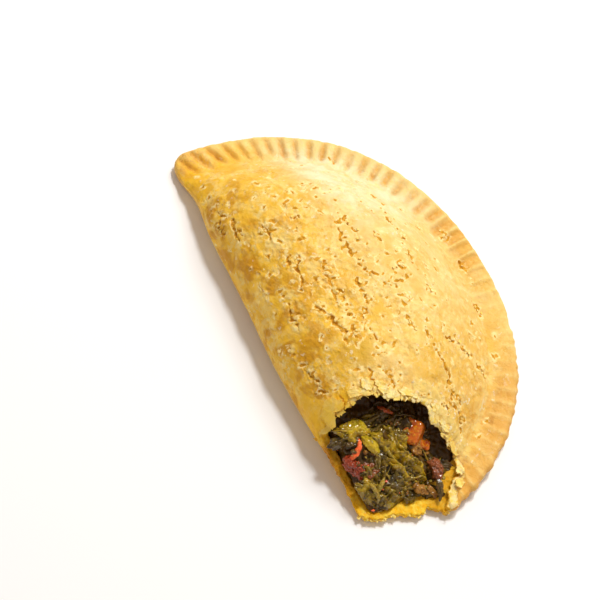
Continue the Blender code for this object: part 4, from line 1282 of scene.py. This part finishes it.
class Nodes:
    # short hands for building a node tree, with the colour as far as it is painted
    def __init__(self, name, colour=None):
        self.material = bpy.data.materials.new(name)
        self.material.use_nodes = True
        self.tree = self.material.node_tree
        self.colour = colour
        mapping = self.add("ShaderNodeMapping", Scale=(1 / mm, 1 / mm, 1 / mm))
        self.feed(self.add("ShaderNodeTexCoord").outputs["Object"], mapping.inputs["Vector"])
        self.places = mapping.outputs["Vector"]

    def add(self, kind, feature=None, **inputs):
        # a node; inputs go by their socket's name, with _ for a space
        node = self.tree.nodes.new(kind)
        for key, value in (feature or {}).items():
            setattr(node, key, value)
        for key, value in inputs.items():
            self.feed(value, node.inputs[key.replace("_", " ")])
        return node

    def feed(self, value, socket):
        value = pastry[value] if isinstance(value, str) else value
        if isinstance(value, bpy.types.NodeSocket):
            self.tree.links.new(value, socket)
        elif isinstance(value, tuple) and socket.type == "RGBA":
            socket.default_value = (*value, 1)
        else:
            socket.default_value = value

    def noise(self, size, detail=3, roughness=0.55, distortion=0.0):
        return self.add("ShaderNodeTexNoise", Vector=self.places, Scale=1 / size, Detail=detail,
                        Roughness=roughness, Distortion=distortion).outputs["Fac"]

    def warped(self, size, amount):
        # the places, pushed about by a noise
        cloud = self.add("ShaderNodeTexNoise", Vector=self.places, Scale=1 / size)
        shift = self.add("ShaderNodeVectorMath", {"operation": "MULTIPLY_ADD"})
        for value, socket in zip((cloud.outputs["Color"], (amount,) * 3, self.places), shift.inputs):
            self.feed(value, socket)
        return shift.outputs[0]

    def cells(self, size, places, feature="F1"):
        return self.add("ShaderNodeTexVoronoi", {"feature": feature}, Vector=places, Scale=1 / size)

    def cellShare(self, size, places):
        # a share of its own for each cell, 0 to 1
        return self.add("ShaderNodeSeparateColor", Color=self.cells(size, places).outputs["Color"]).outputs[0]

    def value(self, name):
        return self.add("ShaderNodeAttribute", {"attribute_name": name}).outputs["Fac"]

    def calc(self, operation, first, second=0.0):
        node = self.add("ShaderNodeMath", {"operation": operation})
        self.feed(first, node.inputs[0])
        self.feed(second, node.inputs[1])
        return node.outputs[0]

    def times(self, first, *others):
        for other in others:
            first = self.calc("MULTIPLY", first, other)
        return first

    def plus(self, first, second):
        return self.calc("ADD", first, second)

    def most(self, first, second):
        return self.calc("MAXIMUM", first, second)

    def about(self, value, amount):
        # a wobble to either side of nought
        return self.times(self.calc("SUBTRACT", value, 0.5), amount)

    def span(self, value, low, high, start=0.0, stop=1.0):
        ends = {"From_Min": low, "From_Max": high, "To_Min": start, "To_Max": stop}
        return self.add("ShaderNodeMapRange", {"interpolation_type": "SMOOTHSTEP"}, Value=value,
                        **ends).outputs["Result"]

    def blend(self, share, first, second):
        node = self.add("ShaderNodeMix", {"data_type": "RGBA"})
        for value, place in ((share, 0), (first, 6), (second, 7)):
            self.feed(value, node.inputs[place])
        return node.outputs[2]

    def paint(self, colour, *shares):
        # a colour laid over what is there, as far as all the shares let it
        self.colour = self.blend(self.times(*shares), self.colour, colour)

    def bump(self, height, strength, distance, under=None):
        node = self.add("ShaderNodeBump", Height=height, Strength=strength, Distance=distance * mm)
        if under:
            self.feed(under, node.inputs["Normal"])
        return node.outputs["Normal"]

    def finish(self, inputs):
        shader = self.tree.nodes["Principled BSDF"]
        for name, value in {"Base Color": self.colour, **inputs}.items():
            self.feed(value, shader.inputs[name])
        return self.material


pastry = {
    "golden": (0.82, 0.53, 0.135), "goldenDeep": (0.77, 0.44, 0.06), "mustard": (0.92, 0.53, 0.020),
    "tan": (0.76, 0.475, 0.145), "tanDeep": (0.71, 0.37, 0.085), "ochre": (0.64, 0.29, 0.010),
    "flankPale": (0.93, 0.64, 0.15), "mellowGold": (0.62, 0.35, 0.020),
    "cream": (0.89, 0.69, 0.27), "creamPale": (0.84, 0.78, 0.49), "creamYellow": (0.84, 0.60, 0.17),
    "whitish": (0.93, 0.86, 0.63), "brown": (0.40, 0.15, 0.020),
    "amber": (0.72, 0.36, 0.060), "amberDeep": (0.54, 0.22, 0.030),
    "crackTan": (0.68, 0.33, 0.022), "crackShadeBrown": (0.42, 0.16, 0.010),
    "crumbPale": (0.98, 0.80, 0.37), "crumbYellow": (0.93, 0.65, 0.065), "turmeric": (0.90, 0.47, 0.005),
    "stained": (0.30, 0.11, 0.008), "stainedWarm": (0.45, 0.2, 0.006), "juice": (0.46, 0.17, 0.004),
}
doughSkin = {
    "Specular IOR Level": 0.3, "Specular Tint": (1, 0.8, 0.4), "Subsurface Weight": 0.12,
    "Subsurface Radius": (1.0, 0.55, 0.2), "Subsurface Scale": 1.2 * mm,
}


def pastryMaterial():
    nodes = Nodes("bakedPastry")
    value, times, span, blend, paint = nodes.value, nodes.times, nodes.span, nodes.blend, nodes.paint
    cloud = nodes.noise
    broad = cloud(14, 3, 0.5)
    patches = cloud(5.0, 4, 0.5, 0.7)
    fine = cloud(1.3, 4, 0.65)
    grain = cloud(0.45, 3, 0.6)
    rough, flank, east, collar = (value(name) for name in ("rough", "flank", "east", "collar"))
    streak = nodes.plus(value("streak"), nodes.about(fine, 0.6))
    nodes.colour = blend(span(broad, 0.35, 0.65), "goldenDeep", "golden")
    paint("tan", east, 0.85)
    paint("tanDeep", span(streak, -0.05, -0.4), east)
    paint("cream", span(patches, 0.5, 0.66, 0, 0.6))
    paint("goldenDeep", span(patches, 0.48, 0.34, 0, 0.6))
    # more mustard over the flank: partly the crust's own tone, partly painted shade on the side turned from
    # the lamp
    paint("mustard", flank, 0.9)
    # paler over the top: partly a paler skin, partly painted light where the top faces the lamp
    paint("creamPale", value("north"), span(patches, 0.3, 0.6, 0.6, 1.0))
    paint("creamYellow", value("band"))
    # soft browner and paler blotches, strongest above the fold
    blotches = cloud(6.5, 3, 0.5, 0.5)
    paint("flankPale", span(blotches, 0.48, 0.34), span(flank, 0.0, 0.6, 0.2, 0.6))
    paint("cream", span(cloud(3.4, 4, 0.6, 0.6), 0.55, 0.65, 0, 0.7), rough)
    # painted shade: darker gold over the calm spot above the bite
    paint("mellowGold", value("mellow"), 0.85)
    # small chips of skin, each a little paler or deeper than the next
    for size, strength in ((2.4, 0.5), (1.0, 0.45)):
        chip = nodes.cellShare(size, nodes.warped(size * 0.45, size * 0.9))
        paint("cream", span(chip, 0.6, 0.9, 0, strength), rough)
        paint("goldenDeep", span(chip, 0.35, 0.05, 0, strength * 0.6), rough)
    paint("cream", span(fine, 0.54, 0.75, 0, 0.35))
    paint("goldenDeep", span(grain, 0.52, 0.8, 0, 0.2))
    paint("ochre", span(blotches, 0.49, 0.62), value("blotchy"), 0.9)
    # whitish flecks of dry skin
    flecks = span(nodes.cells(2.6, nodes.warped(0.8, 2.2)).outputs["Distance"], 0.28, 0.12)
    paint("whitish", flecks, span(cloud(5.2, 2, 0.5), 0.52, 0.6), 0.5)
    scales = nodes.most(east, times(collar, 0.8))
    paint("whitish", span(streak, 0.34, 0.5), span(fine, 0.48, 0.6), scales)
    # painted highlight: cream along the collar, where the dome rises from the flange
    paint("cream", collar, span(fine, 0.4, 0.6, 0.0, 0.5))

    # the rim: amber hollows between pale ridges, partly glaze pooled in the hollows and partly painted shade
    # in them with painted light on the ridges; browned at the very edge and the tip; the grooves are shallow
    # towards the bitten end, but browned as much
    rim = value("rim")
    pressed = nodes.calc("MINIMUM", times(value("pressed"), span(east, 0.1, 0.8, 1, 4.5)), 1.0)
    ridges = times(nodes.calc("SUBTRACT", rim, pressed), span(fine, 0.35, 0.6, 0.2, 0.6))
    paint("tanDeep", rim, east, 0.65)
    paint("cream", nodes.most(ridges, 0.0))
    paint("amber", pressed, span(fine, 0.3, 0.6, 0.35, 0.8))
    # browner still at the deep inner end of each groove: pooled glaze, and painted shade in the deepest part
    paint("brown", pressed, value("deepEnd"), span(cloud(3.1, 3, 0.6), 0.5, 0.66, 0.1, 0.7))
    browned = times(value("edge"), span(east, 0.0, 0.8, 0.3, 1.0))
    browned = nodes.plus(browned, times(value("tip"), 1.7))
    paint("amberDeep", browned, span(fine, 0.4, 0.7, 0.1, 0.6))

    # fine cracks and flecks, too small for the mesh
    network = nodes.cells(5.2, nodes.warped(1.6, 1.6), "DISTANCE_TO_EDGE").outputs["Distance"]
    network = nodes.plus(times(network, 5.2), span(cloud(2.4, 2, 0.5), 0.42, 0.58, 0.3, 0.0))
    dots = span(nodes.cells(1.5, nodes.warped(0.7, 0.5)).outputs["Distance"], 0.15, 0.08)
    dots = times(dots, span(cloud(3.3, 2, 0.5), 0.55, 0.62), rough)
    small = nodes.most(times(span(network, 0.11, 0.03, 0, 0.6), rough), dots)
    paint("crackTan", small, 0.6)

    # cracks: golden brown within, with painted shade darkening the bottom; pale and flaky on either side,
    # partly the flaky skin and partly painted light
    gap = nodes.plus(value("crackGap"), nodes.about(grain, 0.45))
    paint("crumbPale", span(gap, 1.1, 0.1), span(cloud(1.9, 3, 0.6), 0.44, 0.58, 0, 0.85))
    paint("crackTan", span(gap, 0.08, -0.06))
    paint("crackShadeBrown", span(gap, -0.14, -0.34), span(cloud(1.0, 2, 0.5), 0.45, 0.6))

    # torn layers beside the bite
    tear, tearDeep = (nodes.plus(value(name), nodes.about(fine, 0.8)) for name in ("tear", "tearDeep"))
    layer = span(tear, -0.05, 0.12)
    turmeric = value("turmeric")
    crumb = blend(span(fine, 0.36, 0.56), "crumbYellow", "crumbPale")
    paint("mustard", turmeric, 0.75)
    paint(blend(times(turmeric, 0.8), crumb, "turmeric"), layer, 0.85)
    paint("crackTan", layer, span(tear, 0.34, 0.12), span(grain, 0.4, 0.55, 0.1, 0.7))
    deeper = blend(span(fine, 0.38, 0.58), "crumbYellow", "crumbPale")
    paint(deeper, span(tearDeep, -0.05, 0.12), 0.7)

    # broken faces and the inside, stained by the filling
    _, across, up = nodes.add("ShaderNodeSeparateXYZ", Vector=nodes.places).outputs
    juice = span(nodes.plus(times(patches, 9), up), 6.8, 10.5, 0, 0.85)
    juice = times(nodes.most(juice, span(across, -20, -16, 0, 0.6)), span(up, 12, 9))
    broken = blend(span(fine, 0.38, 0.66), "turmeric", "crumbYellow")
    paint(blend(times(juice, 0.7), broken, "juice"), value("torn"))
    paint(blend(span(patches, 0.45, 0.7), "stained", "stainedWarm"), value("inner"))
    under = blend(span(broad, 0.3, 0.7), "tanDeep", "golden")
    under = blend(span(cloud(3.5, 5, 0.65), 0.45, 0.75, 0, 0.6), under, "amber")
    under = blend(span(fine, 0.5, 0.8, 0, 0.5), under, "cream")
    paint(under, value("under"))
    wall = blend(span(fine, 0.5, 0.7, 0, 0.6), "turmeric", "crumbYellow")
    paint(blend(juice, wall, "juice"), value("bared"))

    relief = nodes.bump(nodes.calc("SUBTRACT", 1.0, small), 0.5, 0.2)
    relief = nodes.bump(cloud(2.6, 4, 0.6, 0.6), 0.6, 0.8, relief)
    relief = nodes.bump(fine, 0.5, 0.4, relief)
    relief = nodes.bump(grain, 0.35, 0.15, relief)
    return nodes.finish({"Roughness": span(patches, 0.35, 0.7, 0.45, 0.65), "Normal": relief, **doughSkin})


def flakeMaterial():
    nodes = Nodes("looseFlakes")
    fine = nodes.noise(0.7, 3, 0.6)
    patches = nodes.span(nodes.noise(2.6, 3, 0.55, 0.5), 0.38, 0.62)
    nodes.colour = nodes.blend(patches, (0.96, 0.67, 0.15), (0.99, 0.81, 0.36))
    nodes.paint((0.84, 0.47, 0.03), nodes.span(fine, 0.54, 0.72, 0, 0.5))
    # a darker golden band round each flake's edge: painted shade between the layers
    row = nodes.value("row")
    rim = nodes.times(nodes.span(row, 0.26, 0.42), nodes.span(row, 0.8, 0.66))
    nodes.paint((0.74, 0.42, 0.03), rim, nodes.span(fine, 0.4, 0.6, 0.2, 0.8))
    nodes.paint((0.86, 0.52, 0.02), nodes.value("turmeric"), 0.7)
    nodes.paint((0.92, 0.68, 0.16), nodes.value("lip"), 0.8)
    return nodes.finish({
        "Roughness": 0.6, "Specular IOR Level": 0.35, "Subsurface Weight": 0.2,
        "Subsurface Radius": (1.0, 0.55, 0.2), "Subsurface Scale": 1.0 * mm,
        "Normal": nodes.bump(fine, 0.4, 0.2),
    })


def finishWet(nodes, fine, shade=0.7, coat=1.0):
    # painted shade under the roof, darker and browner there, and wet all over: a thin clear coat over a
    # fairly smooth skin
    nodes.paint((0.072, 0.029, 0.006), nodes.value("shade"), shade)
    return nodes.finish({
        "Roughness": 0.5, "Specular IOR Level": 0.06, "Subsurface Weight": 0.15,
        "Subsurface Scale": 0.8 * mm, "Coat Weight": coat, "Coat Roughness": 0.14,
        "Normal": nodes.bump(fine, 0.8, 0.6), "Coat Normal": nodes.bump(nodes.noise(1.8, 1, 0.4), 0.7, 0.8),
    })


def coreMaterial():
    nodes = Nodes("darkHeap")
    broad = nodes.span(nodes.noise(4.5, 4, 0.6, 0.8), 0.35, 0.62)
    fine = nodes.noise(1.2, 4, 0.65)
    nodes.colour = nodes.blend(broad, (0.050, 0.023, 0.003), (0.11, 0.052, 0.005))
    # painted light on the ridges of the relief, the folds left darker as shade
    ridge = nodes.span(nodes.value("ridge"), 0.45, 0.9)
    nodes.paint((0.13, 0.075, 0.008), ridge, nodes.span(fine, 0.4, 0.65))
    nodes.paint((0.12, 0.025, 0.003), nodes.span(nodes.noise(2.8, 3, 0.6), 0.6, 0.72, 0, 0.6))
    return finishWet(nodes, fine, coat=0.5)


def leafMaterial():
    nodes = Nodes("wiltedLeaf")
    tone = nodes.value("tone")
    fine = nodes.noise(1.1, 4, 0.65)
    broad = nodes.noise(3.2, 4, 0.6, 0.7)
    mottle = nodes.span(broad, 0.35, 0.6)
    dark = nodes.blend(mottle, (0.032, 0.018, 0.002), (0.12, 0.068, 0.005))
    light = nodes.blend(mottle, (0.24, 0.145, 0.003), (0.62, 0.40, 0.010))
    nodes.colour = nodes.blend(nodes.span(tone, 0.15, 0.95), dark, light)
    # veins: a rib along the middle and slanting side ribs
    away = nodes.calc("ABSOLUTE", nodes.value("leafAcross"))
    slant = nodes.plus(nodes.times(nodes.value("leafAlong"), 4.0), nodes.times(away, -1.6))
    comb = nodes.calc("PINGPONG", nodes.plus(slant, nodes.times(broad, 1.2)), 0.5)
    veins = nodes.most(nodes.span(away, 0.07, 0.03), nodes.times(nodes.span(comb, 0.075, 0.02), 0.6))
    pale = nodes.blend(tone, (0.16, 0.105, 0.018), (0.56, 0.41, 0.06))
    nodes.paint(pale, veins, 0.6)
    nodes.paint(pale, nodes.span(fine, 0.55, 0.75, 0, 0.45))
    # painted shade in the creases of the folds
    nodes.paint((0.035, 0.018, 0.002), nodes.value("hollow"), nodes.span(broad, 0.3, 0.6, 0.9, 0.5))
    return finishWet(nodes, fine)


# dark, middle and light colour of each kind of piece, and the size of its mottling
wetLooks = {
    "cookedCarrot": ((0.30, 0.030, 0.001), (0.58, 0.12, 0.002), (0.72, 0.33, 0.006), 3.0),
    "stewedOnion": ((0.14, 0.045, 0.003), (0.38, 0.16, 0.012), (0.56, 0.31, 0.06), 1.6),
    "redMince": ((0.16, 0.012, 0.003), (0.38, 0.045, 0.008), (0.58, 0.13, 0.03), 1.4),
    "brownLump": ((0.10, 0.022, 0.004), (0.30, 0.075, 0.016), (0.44, 0.16, 0.05), 1.5),
    "greenStalk": ((0.28, 0.18, 0.003), (0.60, 0.41, 0.010), (0.78, 0.60, 0.06), 2.6),
    "redPepper": ((0.74, 0.05, 0.012), (0.97, 0.15, 0.028), (0.98, 0.42, 0.13), 2.0),
    "paleStems": ((0.18, 0.11, 0.008), (0.38, 0.25, 0.02), (0.62, 0.47, 0.12), 1.8),
    "darkStems": ((0.045, 0.022, 0.003), (0.12, 0.065, 0.008), (0.28, 0.17, 0.03), 1.5),
    "brownOnion": ((0.10, 0.035, 0.004), (0.34, 0.14, 0.012), (0.56, 0.33, 0.08), 1.4),
}


def wetMaterial(name, dark, middle, light, size):
    nodes = Nodes(name)
    fine = nodes.noise(size * 0.3, 4, 0.6)
    nodes.colour = nodes.blend(nodes.span(nodes.noise(size, 4, 0.6, 0.6), 0.32, 0.55), dark, middle)
    nodes.paint(light, nodes.span(fine, 0.5, 0.72, 0, 0.8))
    return finishWet(nodes, fine, shade=0.6)


view = {
    "azimuth": 48.89, "elevation": 60.68, "roll": -15.75, "distance": 445.8,
    "target": (-7.06, 15.09, 10), "angle": 24,
}


def viewAxes():
    # the camera's right, up and back
    azimuth, elevation, roll = (math.radians(view[key]) for key in ("azimuth", "elevation", "roll"))
    back = Vector((math.sin(azimuth) * math.cos(elevation), -math.cos(azimuth) * math.cos(elevation),
                   math.sin(elevation)))
    right = Vector((math.cos(azimuth), math.sin(azimuth), 0))
    up = back.cross(right)
    return (math.cos(roll) * right - math.sin(roll) * up, math.sin(roll) * right + math.cos(roll) * up, back)


def makeCamera():
    right, up, back = viewAxes()
    target = Vector((np.array(view["target"]) + toFrame) * mm)
    bpy.ops.object.camera_add()
    camera = bpy.context.object
    camera.name = "camera"
    turned = Matrix((right, up, back)).transposed().to_4x4()
    camera.matrix_world = Matrix.Translation(target + back * view["distance"] * mm) @ turned
    camera.data.angle = math.radians(view["angle"])
    camera.data.clip_start = 0.01
    bpy.context.scene.camera = camera


# toward: across, above and near, as the camera sees it
lights = {
    "key": {"toward": (0.48, 0.80, 0.43), "away": 1.8, "size": 0.7, "power": 10, "colour": (1, 0.99, 0.98)},
    "side": {"toward": (0.95, 0.1, 0.5), "away": 0.9, "size": 0.6, "power": 0.3, "colour": (1, 0.97, 0.93)},
    "sparkle": {"toward": (0.30, 0.75, 0.60), "away": 0.8, "size": 0.14, "power": 3.8, "colour": (1, 1, 1)},
}
surround = {"colour": (1, 0.87, 0.75), "strength": 0.45}


def makeLights():
    right, up, back = viewAxes()
    middle = Vector((0, 0, 0.012))
    for name, light in lights.items():
        across, above, near = light["toward"]
        direction = (right * across + up * above + back * near).normalized()
        bpy.ops.object.light_add(type="AREA", location=middle + direction * light["away"])
        lamp = bpy.context.object
        lamp.name = name + "Light"
        lamp.rotation_mode = "QUATERNION"
        lamp.rotation_quaternion = direction.to_track_quat("Z", "Y")
        lamp.data.shape = "DISK"
        lamp.data.size = light["size"]
        lamp.data.energy = light["power"]
        lamp.data.color = light["colour"]
    world = bpy.data.worlds.new("studio")
    world.use_nodes = True
    background = world.node_tree.nodes["Background"]
    background.inputs["Color"].default_value = (*surround["colour"], 1)
    background.inputs["Strength"].default_value = surround["strength"]
    bpy.context.scene.world = world


def makeTable():
    deselectAll()
    bpy.ops.mesh.primitive_plane_add(size=4, location=(0, 0, -0.0002))
    table = newPiece("table")
    dress(table, Nodes("paleTable", (0.94, 0.95, 0.96)).finish({"Roughness": 0.8, "Specular IOR Level": 0.1}))


makeCamera()
makeLights()
makeTable()
bpy.context.scene.view_settings.view_transform = "Standard"
bpy.context.scene.view_settings.look = "None"
print("studio ready")

crustPiece, roofLine, floorLine = makeCrust()
crustPiece.name = "crustBaked"
dress(crustPiece, pastryMaterial())
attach(crustPiece, "root")
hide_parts("crust")
print("crust ready")

flakePiece = makeFlakes(roofLine, floorLine)
dress(flakePiece, flakeMaterial())
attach(flakePiece, "root")
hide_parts("crust")
print("flakes ready")

makeFilling(floorLine)
print("filling ready")
